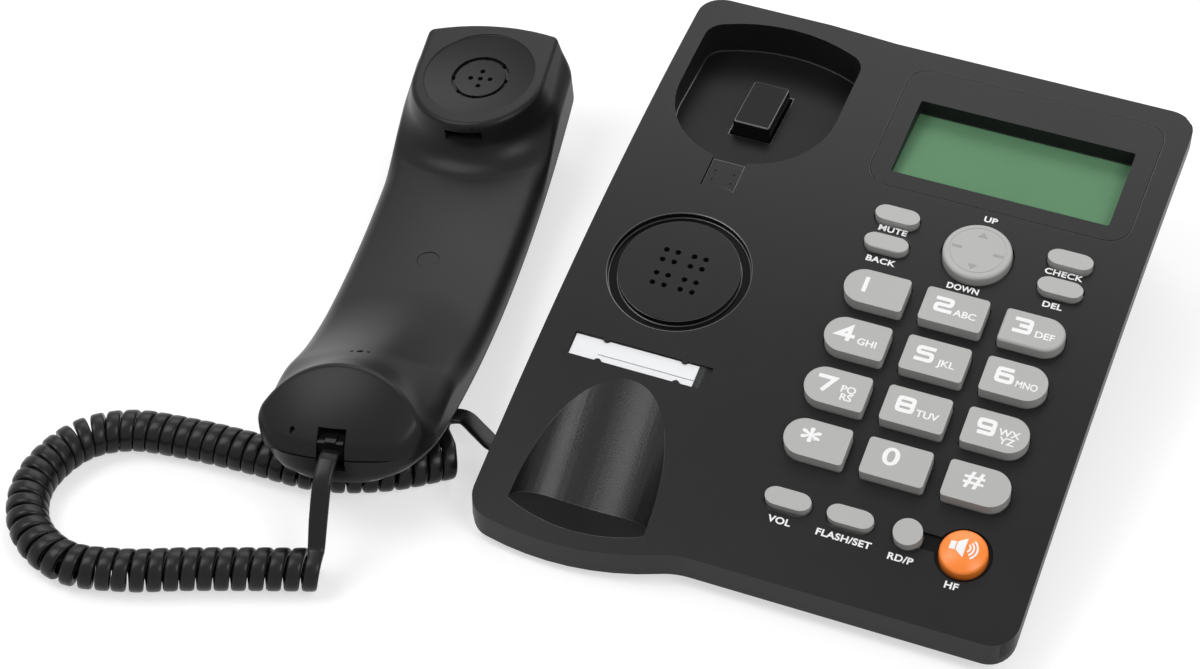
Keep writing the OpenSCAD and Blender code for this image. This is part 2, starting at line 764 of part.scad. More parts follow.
// The half space outside a side of the lower case, drawn in by e
module side_cut(side, e) {
    n = side_normal(side);
    translate(side_front(side) - e * n)
        rotate([0, acos(n[2]), atan2(n[1], n[0])])
            block([2 * big, 2 * big, big], 0);
}
module tub(e) {
    difference() {
        slab(tub_outline(e), floor_low + e, case_high);
        side_cut(right_side, e);
        mirror([1, 0, 0])
            side_cut(left_side, e);
    }
}
module lower_case() {
    color(black)
        difference() {
            union() {
                difference() {
                    union() {
                        difference() {
                            intersection() {
                                slab(case_outline(rim_inset), 0, case_high);
                                arch(skirt_h + seam_gap);
                            }
                            arch(rim_low);
                        }
                        intersection() {
                            tub(0);
                            arch(rim_low - 1);
                        }
                    }
                    tub(wall);
                }
                boss_places()
                    disc(boss_r + boss_room, floor_low + wall / 2, boss_low);
                translate([-cradle_x, y_at(hook_v), floor_low + wall / 2]) {
                    disc(spring_seat_r, 0, hook_spring_low - floor_low - wall / 2);
                    translate([0, switch_y, 0])
                        block([switch_size[0] - 2, switch_size[1] - 1, switch_low - floor_low - wall / 2], 0);
                }
            }
            scoop_shape(wall + slide_gap);
            intersection() {
                well_prism(well_wall + slide_gap);
                block([big, big, big], well_z - wall - slide_gap);
            }
            boss_places() {
                disc(screw_r + screw_gap, 0, boss_low + 1);
                disc(screw_head_r + screw_gap, 0, head_top);
            }
            foot_places()
                disc(foot_r + fit_gap, 0, floor_low + foot_sunk);
            translate([jack_x, jack_y, jack_z - plug_h / 2 - jack_room])
                block([jack_body[0] + 2 * wall, plug_w + 2 * jack_room, plug_h + 2 * jack_room], 0);
            translate([jack_x + jack_body[0] / 2, jack_y, jack_z - jack_body[2] / 2 - jack_gap])
                block(jack_body + 2 * jack_gap * [1, 1, 1], 0);
            translate([line_x, line_y, line_z - line_body[2] / 2 - jack_gap])
                block([line_body[0] + 2 * jack_gap, line_body[1] + 2, line_body[2] + 2 * jack_gap], 0);
        }
}
module rubber_feet() {
    color([0.05, 0.05, 0.05])
        foot_places()
            disc(foot_r, 0, floor_low + foot_sunk);
}
module case_screws() {
    color(steel)
        boss_places() {
            disc(screw_head_r, head_top - screw_head_h, head_top);
            disc(screw_r, screw_low, screw_low + screw_len);
        }
}
module main_board() {
    color(green_board)
        difference() {
            on_deck(0, board_v)
                translate([board_x[0], board_y[0], -board_drop - board_t])
                    cube([board_x[1] - board_x[0], board_y[1] - board_y[0], board_t]);
            boss_places()
                disc(boss_r + boss_room, 0, case_high);
            post_places()
                disc(board_screw_r + fit_gap, -board_drop - over, 0);
        }
}
module board_screws() {
    color(steel)
        post_places() {
            disc(board_head[0], -board_drop - board_t - board_head[1], -board_drop - board_t);
            disc(board_screw_r, -board_drop - board_t - board_head[1] / 2, -board_drop + board_screw_up);
        }
}
module keypad_membrane() {
    color([0.75, 0.75, 0.72])
        difference() {
            union() {
                on_deck(0, board_v)
                    translate([membrane_x[0], membrane_y[0], -board_drop])
                        cube([membrane_x[1] - membrane_x[0], membrane_y[1] - membrane_y[0], sheet_t]);
                intersection() {
                    on_deck(0, board_v)
                        block([big, big, big], -board_drop);
                    for (p = KEY_PLACES) {
                        on_deck(p[0], p[1])
                            disc(pad_r, -pressed_low - over, -pressed_low);
                    }
                }
            }
            boss_places()
                disc(boss_r + boss_room, 0, case_high);
            post_places()
                disc(post_r + slide_gap, -board_drop - over, over);
        }
}

// Keys: a cap through the deck with a flange below it
module dial_key(c, r) {
    color(grey_key)
        on_deck(col_x(c), row_v(r)) {
            slab(key_points(c, 0), -flange_low, key_top);
            slab(key_points(c, flange), -flange_low, -flange_low + flange_t);
        }
}
module pill_key(p) {
    color(grey_key)
        on_deck(p[0], p[1]) {
            slab(pill_points(0), -flange_low, pill_top);
            slab(pill_points(flange), -flange_low, -flange_low + flange_t);
        }
}
module round_key(p, dia, top) {
    on_deck(p[0], p[1]) {
        disc(dia / 2, -flange_low, top);
        disc(dia / 2 + flange, -flange_low, -flange_low + flange_t);
    }
}
module redial_key() {
    color(grey_key)
        round_key(redial_at, redial_dia, pill_top);
}
module handsfree_key() {
    color(orange_key)
        intersection() {
            round_key(handsfree_at, handsfree_dia, handsfree_top);
            on_deck(handsfree_at[0], handsfree_at[1])
                translate([0, 0, handsfree_top - handsfree_dome])
                    sphere(handsfree_dome, $fn = 2 * round_sides);
        }
}
// The navigation disc rocks front and rear on a round bar under its middle
nav_bar_r = 2;
nav_bar_len = 6;
nav_lift = 0.3;
nav_flange = 1.2;
nav_flange_t = 1.1;
nav_low = wall + 3 * nav_lift;
module navigation_key() {
    color(grey_key)
        on_deck(nav_at[0], nav_at[1]) {
            difference() {
                disc(nav_dia / 2, -nav_low, nav_top);
                difference() {
                    disc(nav_groove_r, nav_top - nav_groove[1], over);
                    disc(nav_groove_r - nav_groove[0], 0, over + 1);
                }
            }
            disc(nav_dia / 2 + nav_flange, -nav_low - nav_flange_t, -nav_low);
            translate([0, 0, -pressed_low + nav_bar_r + nav_lift])
                rotate([0, 90, 0])
                    cylinder(r = nav_bar_r, h = nav_bar_len, center = true, $fn = round_sides);
            block([nav_bar_len, nav_bar_r, pressed_low - nav_bar_r - wall], -pressed_low + nav_bar_r);
        }
}

// Display: a flush bezel with a well, over a clear lens and the panel, both level
module display_bezel() {
    color(black)
        difference() {
            union() {
                intersection() {
                    on_deck(bezel_x, bezel_v)
                        slab(round_rect(bezel_w, bezel_d, bezel_corner, bezel_corner), -over, over);
                    difference() {
                        arch(0);
                        arch(bezel_t);
                    }
                }
                intersection() {
                    on_deck(bezel_x, bezel_v)
                        bezel_neck(0, -through);
                    arch(bezel_t / 2);
                    block([big, big, big], display_z);
                }
            }
            on_deck(bezel_x, bezel_v)
                translate([0, window_back, 0])
                    slab(round_rect(window_w, window_d, window_corner, window_corner), -through, over);
        }
}
display_y = y_at(bezel_v) + window_back * cos(slope_at(bezel_v));
module display_lens() {
    color([0.7, 0.85, 0.7, 0.4])
        translate([bezel_x, display_y, 0])
            block([window_w + neck_rim, window_d + neck_rim, lens_t], display_z - lens_t);
}
module display_panel() {
    color([0.35, 0.52, 0.38])
        translate([bezel_x, display_y, 0])
            block([window_w + neck_rim, window_d + neck_rim, panel_t], display_z - lens_t - panel_t);
}

// Hook switch: the button goes straight down against a spring
hook_flange = 1.6;
hook_flange_top = well_z - wall - slide_gap;
hook_flange_t = 1.5;
hook_spring_top = hook_flange_top - hook_flange_t;
spring_min = 5;
spring_r = [4, 3.2];
spring_seat_r = 5;
hook_spring_low = hook_spring_top - hook_travel - spring_min;
hook_corner = 1;
// The switch beside the spring: its place, body, how far it stands below the spring's seat, and its pin
switch_y = 9.5;
switch_size = [12, 6];
switch_low = hook_spring_low - 6;
switch_pin = 2;
module hook_button() {
    color(gloss_black)
        translate([-cradle_x, y_at(hook_v), 0]) {
            slab(round_rect(hook_w, hook_len, hook_corner, hook_corner), hook_spring_top, well_z + hook_up);
            slab(round_rect(hook_w + 2 * hook_flange, hook_len + 2 * hook_flange, hook_corner, hook_corner),
                hook_spring_top, hook_flange_top);
        }
}
module hook_spring() {
    color(steel)
        translate([-cradle_x, y_at(hook_v), 0])
            difference() {
                disc(spring_r[0], hook_spring_low, hook_spring_top);
                disc(spring_r[1], hook_spring_low - 1, hook_spring_top + 1);
            }
}
module hook_switch() {
    color(gloss_black)
        translate([-cradle_x, y_at(hook_v) + switch_y, 0]) {
            block([switch_size[0], switch_size[1], hook_spring_low + spring_min - 1 - switch_low], switch_low);
            block([switch_pin, switch_pin, spring_min - slide_gap], hook_spring_low);
        }
}
module wall_hook_tab() {
    color(black)
        on_deck(-cradle_x, tab_v) {
            slab(tab_points(0, tab_rear), -tab_t - tab_drop, -tab_drop);
            for (x = [-tab_dots[0], tab_dots[0]]) {
                for (y = [-tab_dots[1], tab_dots[1]]) {
                    translate([x, y, 0])
                        disc(tab_dot_r, -tab_drop - tab_t / 2, -tab_drop / 2);
                }
            }
        }
}
module loudspeaker() {
    color([0.15, 0.15, 0.16])
        on_deck(-cradle_x, speaker_v) {
            disc(grille_dia / 2, -grille_t - speaker_h, -grille_t);
            disc(grille_dia / 4, -grille_t - speaker_h - magnet_h, -grille_t);
        }
}
module label_card() {
    color([0.95, 0.95, 0.96])
        on_deck(-cradle_x, label_v)
            difference() {
                translate([card_x, 0, 0])
                    block([card_w, card_d, card_t], -label_deep);
                label_nubs(fit_gap);
            }
}
module label_cover() {
    color([0.95, 0.95, 0.97, 0.3])
        on_deck(-cradle_x, label_v)
            difference() {
                translate([card_x, 0, 0])
                    block([card_w, card_d, cover_t], card_t - label_deep);
                label_nubs(fit_gap);
            }
}
module base_handset_jack() {
    color(gloss_black)
        difference() {
            translate([jack_x + jack_body[0] / 2, jack_y, 0])
                block(jack_body, jack_z - jack_body[2] / 2);
            translate([jack_x, jack_y, 0])
                block([2 * (plug_in + socket_end), plug_w + 2 * socket_gap, plug_h + 2 * socket_gap],
                    jack_z - plug_h / 2 - socket_gap);
        }
}
module line_jack() {
    color(gloss_black)
        difference() {
            translate([line_x, line_y - line_body[1] / 2, 0])
                block(line_body, line_z - line_body[2] / 2);
            translate([line_x, line_y, 0])
                block([line_hole[0], 2 * line_hole[1], line_hole[2]], line_z - line_hole[2] / 2);
        }
}

// Handset outline from above, drawn in by e: shallow arcs at both ends and round corners
function end_arc(sag, half) = (half ^ 2 + sag ^ 2) / (2 * sag);
function hs_outline(e) = let (
    half = hs_w / 2 - e,
    ec = hs_ear_corner - e,
    mc = hs_mouth_corner - e,
    er = end_arc(hs_ear_sag, hs_w / 2) - e,
    mr = end_arc(hs_mouth_sag, hs_w / 2) - e,
    ey = hs_half - end_arc(hs_ear_sag, hs_w / 2),
    my = end_arc(hs_mouth_sag, hs_w / 2) - hs_half,
    ea = acos((half - ec) / (er - ec)),
    ma = acos((half - mc) / (mr - mc))) concat(
    arc([half - ec, ey + (er - ec) * sin(ea)], ec, 0, ea),
    arc([0, ey], er, ea, 180 - ea, 1),
    arc([ec - half, ey + (er - ec) * sin(ea)], ec, 180 - ea, 180, 1),
    arc([mc - half, my - (mr - mc) * sin(ma)], mc, 180, 180 + ma),
    arc([0, my], mr, 180 + ma, 360 - ma, 1),
    arc([half - mc, my - (mr - mc) * sin(ma)], mc, 360 - ma, 360, 1));
// A body turned about the seam's centre, far above the handset, from points of radius and width
module about_seam(points) {
    translate([0, 0, seam_r])
        rotate([0, 90, 0])
            rotate_extrude($fn = arch_sides)
                polygon(points);
}
// Half widths across, from side to side, for the crowned back and grip
cross_steps = 10;
across = [for (i = [-cross_steps : cross_steps]) (hs_w / 2 + side_over) * i / cross_steps];
module back_body(e) {
    crown = back_crown - e;
    centre = seam_r + back_depth - back_crown;
    about_seam(concat(
        [for (x = across) [centre + sqrt(crown ^ 2 - x ^ 2), x]],
        [[seam_r / 2, hs_w / 2 + side_over], [seam_r / 2, -hs_w / 2 - side_over]]));
}
module seam_drum(e) {
    translate([0, 0, seam_r])
        rotate([0, 90, 0])
            cylinder(r = seam_r - e, h = 2 * hs_w, center = true, $fn = arch_sides);
}
// Above the grip's crowned surface: what the front shell leaves empty between its two ends
module above_grip(e) {
    top = seam_r - grip_up + e;
    half = hs_w / 2;
    about_seam(concat(
        [[seam_r / 2, half + side_over], [seam_r / 2, -half - side_over],
            [top + grip_side + side_over, -half - side_over], [top + grip_side, -half]],
        [for (x = across) if (abs(x) < half - grip_side) [top + grip_crown * (x / half) ^ 2, x]],
        [[top + grip_side, half], [top + grip_side + side_over, half + side_over]]));
}
module in_ear_frame() {
    translate([0, ear_front[0], ear_front[1]])
        rotate([ear_tilt, 0, 0])
            children();
}
// Half width of the ear block at a depth below its face, drawn in by e
function ear_half(depth, e) = ear_r + ear_draft * depth - e * sqrt(1 + ear_draft ^ 2);
module ear_block(e) {
    low = ear_half(ear_deep, e);
    high = ear_half(e, e);
    in_ear_frame() {
        translate([0, ear_r, -ear_deep])
            cylinder(r1 = low, r2 = high, h = ear_deep - e, $fn = 2 * round_sides);
        translate([0, ear_r + hs_half, 0])
            rotate([90, 0, 0])
                linear_extrude(hs_half)
                    polygon([[-low, -ear_deep], [low, -ear_deep], [high, -e], [-high, -e]]);
    }
}
// The mouth end: a sloping barrel whose front is cut by a wide ball
module mouth_barrel(e) {
    translate([0, ridge[0], ridge[1]])
        rotate([-arch_slope, 0, 0])
            translate([0, 0, -mouth_r])
                rotate([90, 0, 0])
                    cylinder(r = mouth_r - e, h = hs_len, center = true, $fn = 2 * round_sides);
}
module behind_mouth(e) {
    translate([0, end_ball[0], end_ball[1]])
        sphere(end_ball_r - e, $fn = 4 * round_sides);
    translate([0, end_ball[0] + big / 2, 0])
        block([big, big, big], -big / 2);
}
module front_body(e) {
    intersection() {
        union() {
            difference() {
                slab(hs_outline(e), -back_depth, hs_high);
                above_grip(e);
            }
            ear_block(e);
            mouth_barrel(e);
        }
        slab(hs_outline(e), -back_depth, hs_high);
        seam_drum(-e / 2);
        behind_mouth(e);
    }
}
// Opening for the plug, cut through both shells at the mouth end
module plug_opening() {
    translate([0, hs_jack_y - over + jack_gap, hs_plug_z])
        block([plug_w + 2 * plug_room[0], 2 * over, plug_h + plug_room[1] + plug_room[2]],
            -plug_h / 2 - plug_room[1]);
}
module handset_jack_space(g) {
    translate([0, hs_jack_y + hs_jack_body[1] / 2, hs_plug_z - hs_jack_body[2] / 2 - g])
        block(hs_jack_body + 2 * g * [1, 1, 1], 0);
}
module on_ear_face() {
    in_ear_frame()
        translate([0, ear_mid, 0])
            children();
}
dish_r = ((ear_dish / 2) ^ 2 + dish_deep ^ 2) / (2 * dish_deep);
capsule_r = 14;
capsule_h = 6;
capsule_drop = dish_deep + shell_t;
mic_r = 4.8;
mic_h = 4;
mic_gap = 0.8;
mic_top = ridge[1] - (mic_y - ridge[0]) * tan(arch_slope);
module on_mic_face() {
    translate([0, mic_y, mic_top])
        rotate([-arch_slope, 0, 0])
            children();
}
module handset_front_shell() {
    color(black)
        in_handset()
            difference() {
                union() {
                    difference() {
                        front_body(0);
                        difference() {
                            front_body(shell_t);
                            on_ear_face()
                                disc(ear_dish / 2 + 1, -capsule_drop, over);
                        }
                    }
                    translate([0, plug_hole_y, 0])
                        disc(front_boss_r, hs_boss_gap, grip_up - shell_t / 2);
                }
                on_ear_face() {
                    translate([0, 0, dish_r - dish_deep])
                        sphere(dish_r, $fn = 2 * round_sides);
                    difference() {
                        disc(ear_ring_r, -dish_deep - ear_ring_deep, over);
                        disc(ear_ring_r - ear_ring_w, -dish_deep - 2 * ear_ring_deep, over + 1);
                    }
                    for (p = [[0, 0], [1, 0], [-1, 0], [0, 1], [0, -1]]) {
                        translate([p[0] * ear_hole_at, p[1] * ear_hole_at, 0])
                            disc(ear_hole_r, -capsule_drop - 1, over);
                    }
                    for (i = [0 : ear_ring_holes - 1]) {
                        rotate([0, 0, 360 * i / ear_ring_holes])
                            translate([ear_ring_r - ear_ring_w / 2, 0, 0])
                                disc(ear_ring_w / 2, -capsule_drop - 1, over);
                    }
                }
                in_ear_frame()
                    translate([0, 0, -ear_slot_drop - ear_slot[1] / 2])
                        block([ear_slot[0], 3 * ear_slot_drop, ear_slot[1]], 0);
                on_mic_face()
                    for (x = [-mic_hole_at, 0, mic_hole_at]) {
                        translate([x, 0, 0])
                            disc(mic_hole_r, -shell_t - mic_h, over);
                    }
                translate([0, plug_hole_y, 0]) {
                    disc(hs_screw_r + fit_gap, -back_depth, screw_seat);
                    disc(screw_plug_r + fit_gap, screw_seat, hs_high);
                }
                plug_opening();
                handset_jack_space(jack_gap);
            }
}
module handset_back_shell() {
    color(black)
        in_handset()
            difference() {
                union() {
                    difference() {
                        intersection() {
                            slab(hs_outline(0), -through, hs_high);
                            back_body(0);
                        }
                        seam_drum(-hs_shell_gap);
                        intersection() {
                            slab(hs_outline(shell_t), -through - 1, hs_high + 1);
                            back_body(shell_t);
                        }
                    }
                    translate([0, plug_hole_y, 0])
                        disc(back_boss_r, shell_t / 2 - back_depth, hs_boss_gap - seat_gap);
                }
                translate([0, plug_hole_y, 0])
                    disc(hs_screw_r + seat_gap, hs_screw_tip - fit_gap, over);
                plug_opening();
                handset_jack_space(jack_gap);
            }
}
module receiver_capsule() {
    color(steel)
        in_handset()
            on_ear_face()
                disc(capsule_r, -capsule_drop - capsule_h, -capsule_drop - fit_gap);
}
module microphone_capsule() {
    color(steel)
        in_handset()
            on_mic_face()
                disc(mic_r, -shell_t - mic_h, -shell_t - mic_gap);
}
// The weight lies along the back shell, lifted by how far the shell curves up under its edges
weight_y = 36;
weight_size = [24, 44, 5];
function sag(length, r) = r - sqrt(r ^ 2 - (length / 2) ^ 2);
weight_low = shell_t - back_depth + sag(weight_size[0], back_crown - shell_t)
    + sag(weight_size[1], seam_r) + fit_gap;
module handset_weight() {
    color(steel)
        in_handset()
            translate([0, 0, seam_r])
                rotate([asin(weight_y / seam_r), 0, 0])
                    translate([0, 0, -seam_r])
                        block(weight_size, weight_low);
}
module handset_jack() {
    color(gloss_black)
        in_handset()
            difference() {
                handset_jack_space(0);
                translate([0, hs_jack_y, hs_plug_z])
                    block([plug_w + 2 * socket_gap, 2 * (hs_plug_y + plug_len - hs_jack_y + socket_end),
                        plug_h + 2 * socket_gap], -plug_h / 2 - socket_gap);
            }
}
module handset_screw() {
    color(steel)
        in_handset()
            translate([0, plug_hole_y, 0]) {
                disc(hs_screw_head[0], screw_seat, screw_seat + hs_screw_head[1]);
                disc(hs_screw_r, hs_screw_tip, screw_seat + hs_screw_head[1] / 2);
            }
}
module screw_plug() {
    color(black)
        in_handset()
            translate([0, plug_hole_y, 0])
                disc(screw_plug_r, screw_seat + hs_screw_head[1] + fit_gap, grip_up - screw_plug_sunk);
}

// Cord: one unbroken wire from plug to plug
module handset_cord() {
    color(black)
        polyhedron([for (i = [0 : cord_count - 1]) each cord_ring(i)], cord_faces());
}
module plug_body() {
    block([plug_w, plug_len, plug_h], -plug_h / 2);
    translate([0, (plug_latch[1] - plug_len) / 2, plug_h / 2])
        block([plug_latch[0], plug_latch[1], 2 * plug_latch[2]], -plug_latch[2]);
}
module handset_end_plug() {
    color([0.1, 0.1, 0.1])
        in_handset()
            translate([0, hs_plug_y + plug_len / 2, hs_plug_z])
                plug_body();
}
module base_end_plug() {
    color([0.1, 0.1, 0.1])
        translate([base_plug_x + plug_len / 2, jack_y, jack_z])
            rotate([0, 0, -90])
                plug_body();
}

upper_case();
lower_case();
rubber_feet();
case_screws();
main_board();
board_screws();
keypad_membrane();
dial_key(0, 0);  // key_1
dial_key(1, 0);  // key_2
dial_key(2, 0);  // key_3
dial_key(0, 1);  // key_4
dial_key(1, 1);  // key_5
dial_key(2, 1);  // key_6
dial_key(0, 2);  // key_7
dial_key(1, 2);  // key_8
dial_key(2, 2);  // key_9
dial_key(0, 3);  // key_star
dial_key(1, 3);  // key_0
dial_key(2, 3);  // key_hash
pill_key(mute_at);  // mute_key
pill_key(back_at);  // back_key
pill_key(check_at);  // check_key
pill_key(delete_at);  // delete_key
pill_key(volume_at);  // volume_key
pill_key(flash_at);  // flash_key
redial_key();
handsfree_key();
navigation_key();
display_bezel();
display_lens();
display_panel();
hook_button();
hook_spring();
hook_switch();
wall_hook_tab();
loudspeaker();
label_card();
label_cover();
base_handset_jack();
line_jack();
handset_front_shell();
handset_back_shell();
receiver_capsule();
microphone_capsule();
handset_weight();
handset_jack();
handset_screw();
screw_plug();
handset_cord();
handset_end_plug();
base_end_plug();
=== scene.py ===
"""Looks of a corded desk telephone: moulded black base, grey keys, and a handset on a curly cord."""

import json
import math

import bmesh
import bpy
import numpy as np
from mathutils import Matrix, Vector

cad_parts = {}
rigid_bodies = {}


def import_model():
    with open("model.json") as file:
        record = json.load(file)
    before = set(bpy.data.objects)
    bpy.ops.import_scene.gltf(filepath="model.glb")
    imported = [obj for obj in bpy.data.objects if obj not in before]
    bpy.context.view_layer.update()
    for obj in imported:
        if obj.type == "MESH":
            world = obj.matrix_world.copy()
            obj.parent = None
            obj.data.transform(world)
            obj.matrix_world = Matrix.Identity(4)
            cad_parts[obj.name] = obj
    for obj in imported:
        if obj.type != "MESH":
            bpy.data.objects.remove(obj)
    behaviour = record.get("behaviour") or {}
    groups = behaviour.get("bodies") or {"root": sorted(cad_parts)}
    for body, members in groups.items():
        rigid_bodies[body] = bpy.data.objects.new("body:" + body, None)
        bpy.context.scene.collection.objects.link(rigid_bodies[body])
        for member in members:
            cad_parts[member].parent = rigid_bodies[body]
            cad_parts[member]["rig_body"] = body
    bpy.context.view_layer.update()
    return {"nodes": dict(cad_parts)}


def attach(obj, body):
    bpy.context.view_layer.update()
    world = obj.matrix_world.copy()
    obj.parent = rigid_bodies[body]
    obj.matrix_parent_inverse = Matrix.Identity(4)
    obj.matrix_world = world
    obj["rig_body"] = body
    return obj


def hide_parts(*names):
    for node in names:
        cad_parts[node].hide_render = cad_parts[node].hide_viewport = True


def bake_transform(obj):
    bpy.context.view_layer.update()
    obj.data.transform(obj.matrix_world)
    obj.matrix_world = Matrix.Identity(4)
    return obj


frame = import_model()
nodes = frame["nodes"]

MM = 0.001
# Points nearer than this, in metres, are joined
WELD = 2e-6

# The deck's arch, in millimetres, as the frame has it
DECK_LEN = 198
DECK_R = 750
DECK_TILT = math.radians(10.4)
FRONT_Z = 14
CRADLE_X = -48.7
PAD_X = 32.9
PAD_V = 98.4
COL_PITCH = 23.8
ROW_PITCH = 18
SIDE_KEYS = 26.5

# The handset's place on the table and its own sizes, in millimetres and degrees
HANDSET_AT = (-126.5, -19.4)
HANDSET_TURN = 7.7
HANDSET_PITCH = 3.4
HANDSET_ROLL = 6
TABLE_GAP = 0.1
HANDSET_HALF = 94.3
HANDSET_HALF_W = 26
SEAM_R = 300
BACK_DEPTH = 9
BACK_CROWN = 52
GRIP_UP = 9
GRIP_FROM = -80
GRIP_RAMP = 26
GRIP_CROWN = 1.5
EAR_SAG = 5
MOUTH_SAG = 7
EAR_CORNER = 4
MOUTH_CORNER = 13
FRONT_CORNER = 9
GRIP_EDGE = 6
EAR_END_EDGE = 1.6
MOUTH_END_EDGE = 3
GRIP_REACH = 40
EAR_RAMP = 20
MOUTH_RAMP = 25
EAR_FRONT = (49.5, 26.3)
EAR_TILT = math.radians(9)
EAR_R = 21.3
EAR_DRAFT = 0.3
EAR_DEEP = 24
EAR_MID = 22.8
EAR_EDGE = 1.3
EAR_FILLET = 7
DISH_R = 18
DISH_RIM = 0.4
DISH_LIP = 0.55
DISH_BOWL = 1.75
RIDGE = (-72.3, 32.3)
MOUTH_SLOPE = math.radians(32.5)
MOUTH_R = 27
MOUTH_FILLET = 14
END_BALL = (-42.5, -31)
END_BALL_R = 70
END_LIFT = 20
END_RAMP = 40
END_EDGE = 1.2
BACK_EDGE = 2
SPINE = (-62.0, 70.0)

# Openings in the handset's shells, in millimetres
CUT_ABOVE = 2
EAR_RING = (8.1, 9.3)
EAR_RING_DEEP = 2.9
EAR_RING_HOLES = 8
EAR_RING_HOLE_R = 0.75
EAR_HOLE_PITCH = 3.2
EAR_HOLE_R = 0.85
EAR_HOLE_DEEP = 6
EAR_SLOT = (12, 13, 3)
EAR_SLOT_DOWN = 4.3
MIC_AT = (-1.3, -57.0)
MIC_HOLES = [(-2.5, 0.6), (0, 0.95), (2.5, 0.6)]
SCREW_HOLE_Y = 3.8
SCREW_HOLE_R = 3.45
PINHOLE_AT = (-12, -88, 20)
PINHOLE_R = 0.9
PLUG_HOLE = (8.4, 20, 10.6)
PLUG_HOLE_Y = -95.9
PLUG_HOLE_LOW = -4.9

# The curly cord, in millimetres: the axis of its curls on the table and its two tails
CORD_D = 3
CURL_D = 13
OPEN_PITCH = 5.1
CURL_PITCH = 4.3
OPEN_RUN = 80
CURL_Z = CURL_D / 2 + 0.2
BEND_SPREAD = 2
AXIS_STEPS = 24
CURL_RINGS = 20
TAIL_STEPS = 8
SLEEVE_CORNERS = 16
SLEEVE_POWER = 0.55
TAIL_HALF = (1.0, 2.7)
CURL_HALF = (1.25, 2.1)
CURL_CLEAR = 0.08
WIDTH_SLACK = 0.05
BLEND_RINGS = 10
TAIL_STRAIGHT = CORD_D + 0.4
CURL_ROUTE = [(-112, -132), (-128, -138), (-146, -145), (-163, -152), (-180, -155), (-195, -147),
              (-202, -131), (-198, -113), (-186, -103), (-168, -99.5), (-148, -98), (-127, -97),
              (-109, -90), (-94, -79)]
HANDSET_TAIL = [(-114.8, -119, 28), (-113.8, -124.5, 20.5), (-112.8, -129, 13.5)]
BASE_TAIL = [(-99, -73, 11), (-100, -67.5, 10), (-95.5, -64.5, 9.3), (-89.5, -67.5, 9)]
BASE_PLUG = (-80.1, -71, 9)
HANDSET_PLUG = (0, -92, 16.2)


def shifted(place, x, y, up=0.0):
    """A place moved along its own axes, by millimetres."""
    return place @ Matrix.Translation((x * MM, y * MM, up * MM))


def slope_at(v):
    return DECK_TILT - (v - DECK_LEN / 2) / DECK_R


MID_Z = FRONT_Z - DECK_R * (math.cos(slope_at(0)) - math.cos(DECK_TILT))


def deck(x, v, up=0.0):
    """The frame on the deck at x and v millimetres, raised by up: x right, y to the rear, z out of it."""
    slope = slope_at(v)
    y = DECK_R * (math.sin(DECK_TILT) - math.sin(slope))
    z = MID_Z + DECK_R * (math.cos(slope) - math.cos(DECK_TILT))
    place = Matrix.Translation(Vector((x, y, z)) * MM) @ Matrix.Rotation(slope, 4, "X")
    return shifted(place, 0, 0, up)


def handset_frame():
    roll, pitch = math.radians(HANDSET_ROLL), math.radians(HANDSET_PITCH)
    reach = SEAM_R + BACK_DEPTH - BACK_CROWN
    z = (BACK_CROWN + reach * math.sqrt(1 - (math.sin(roll) * math.cos(pitch)) ** 2)
         - SEAM_R * math.cos(pitch) * math.cos(roll) + TABLE_GAP)
    turn = Matrix.Rotation(math.radians(HANDSET_TURN), 4, "Z")
    tip = Matrix.Rotation(-pitch, 4, "X") @ Matrix.Rotation(-roll, 4, "Y")
    return Matrix.Translation(Vector((*HANDSET_AT, z)) * MM) @ turn @ tip


HANDSET = handset_frame()


def new_object(name, data):
    obj = bpy.data.objects.new(name, data)
    bpy.context.scene.collection.objects.link(obj)
    return obj


def add_camera():
    camera = bpy.data.cameras.new("camera")
    camera.sensor_fit = "HORIZONTAL"
    camera.sensor_width = 36
    camera.lens = 93.51
    right = Vector((0.93157, 0.36355, 0))
    view = Vector((-0.2576, 0.6601, -0.7056)).normalized()
    up = right.cross(view).normalized()
    place = Matrix((right, up, -view)).transposed().to_4x4()
    place.translation = Vector((0.1718, -0.6392, 0.6735))
    obj = new_object("camera", camera)
    obj.matrix_world = place
    bpy.context.scene.camera = obj


add_camera()


# Materials

DRIFT_SCALE = 38
GLOSS_DRIFT = 0.05
GRAIN_DEPTH = 0.12 * MM


def set_inputs(node, values):
    for name, value in values.items():
        node.inputs[name].default_value = value
    return node


def add_node(tree, kind, values):
    return set_inputs(tree.nodes.new("ShaderNode" + kind), values)


def new_material(name, values):
    """A material with its node tree and its shader, whose inputs have values."""
    material = bpy.data.materials.new(name)
    material.use_nodes = True
    tree = material.node_tree
    return material, tree, set_inputs(tree.nodes["Principled BSDF"], values)


def add_noise(tree, scale, detail=2.0):
    coords = add_node(tree, "TexCoord", {})
    noise = add_node(tree, "TexNoise", {"Scale": scale, "Detail": detail})
    tree.links.new(coords.outputs["Object"], noise.inputs["Vector"])
    return noise.outputs["Fac"]


def add_range(tree, value, low, high):
    ranged = add_node(tree, "MapRange", {"To Min": low, "To Max": high})
    tree.links.new(value, ranged.inputs["Value"])
    return ranged.outputs["Result"]


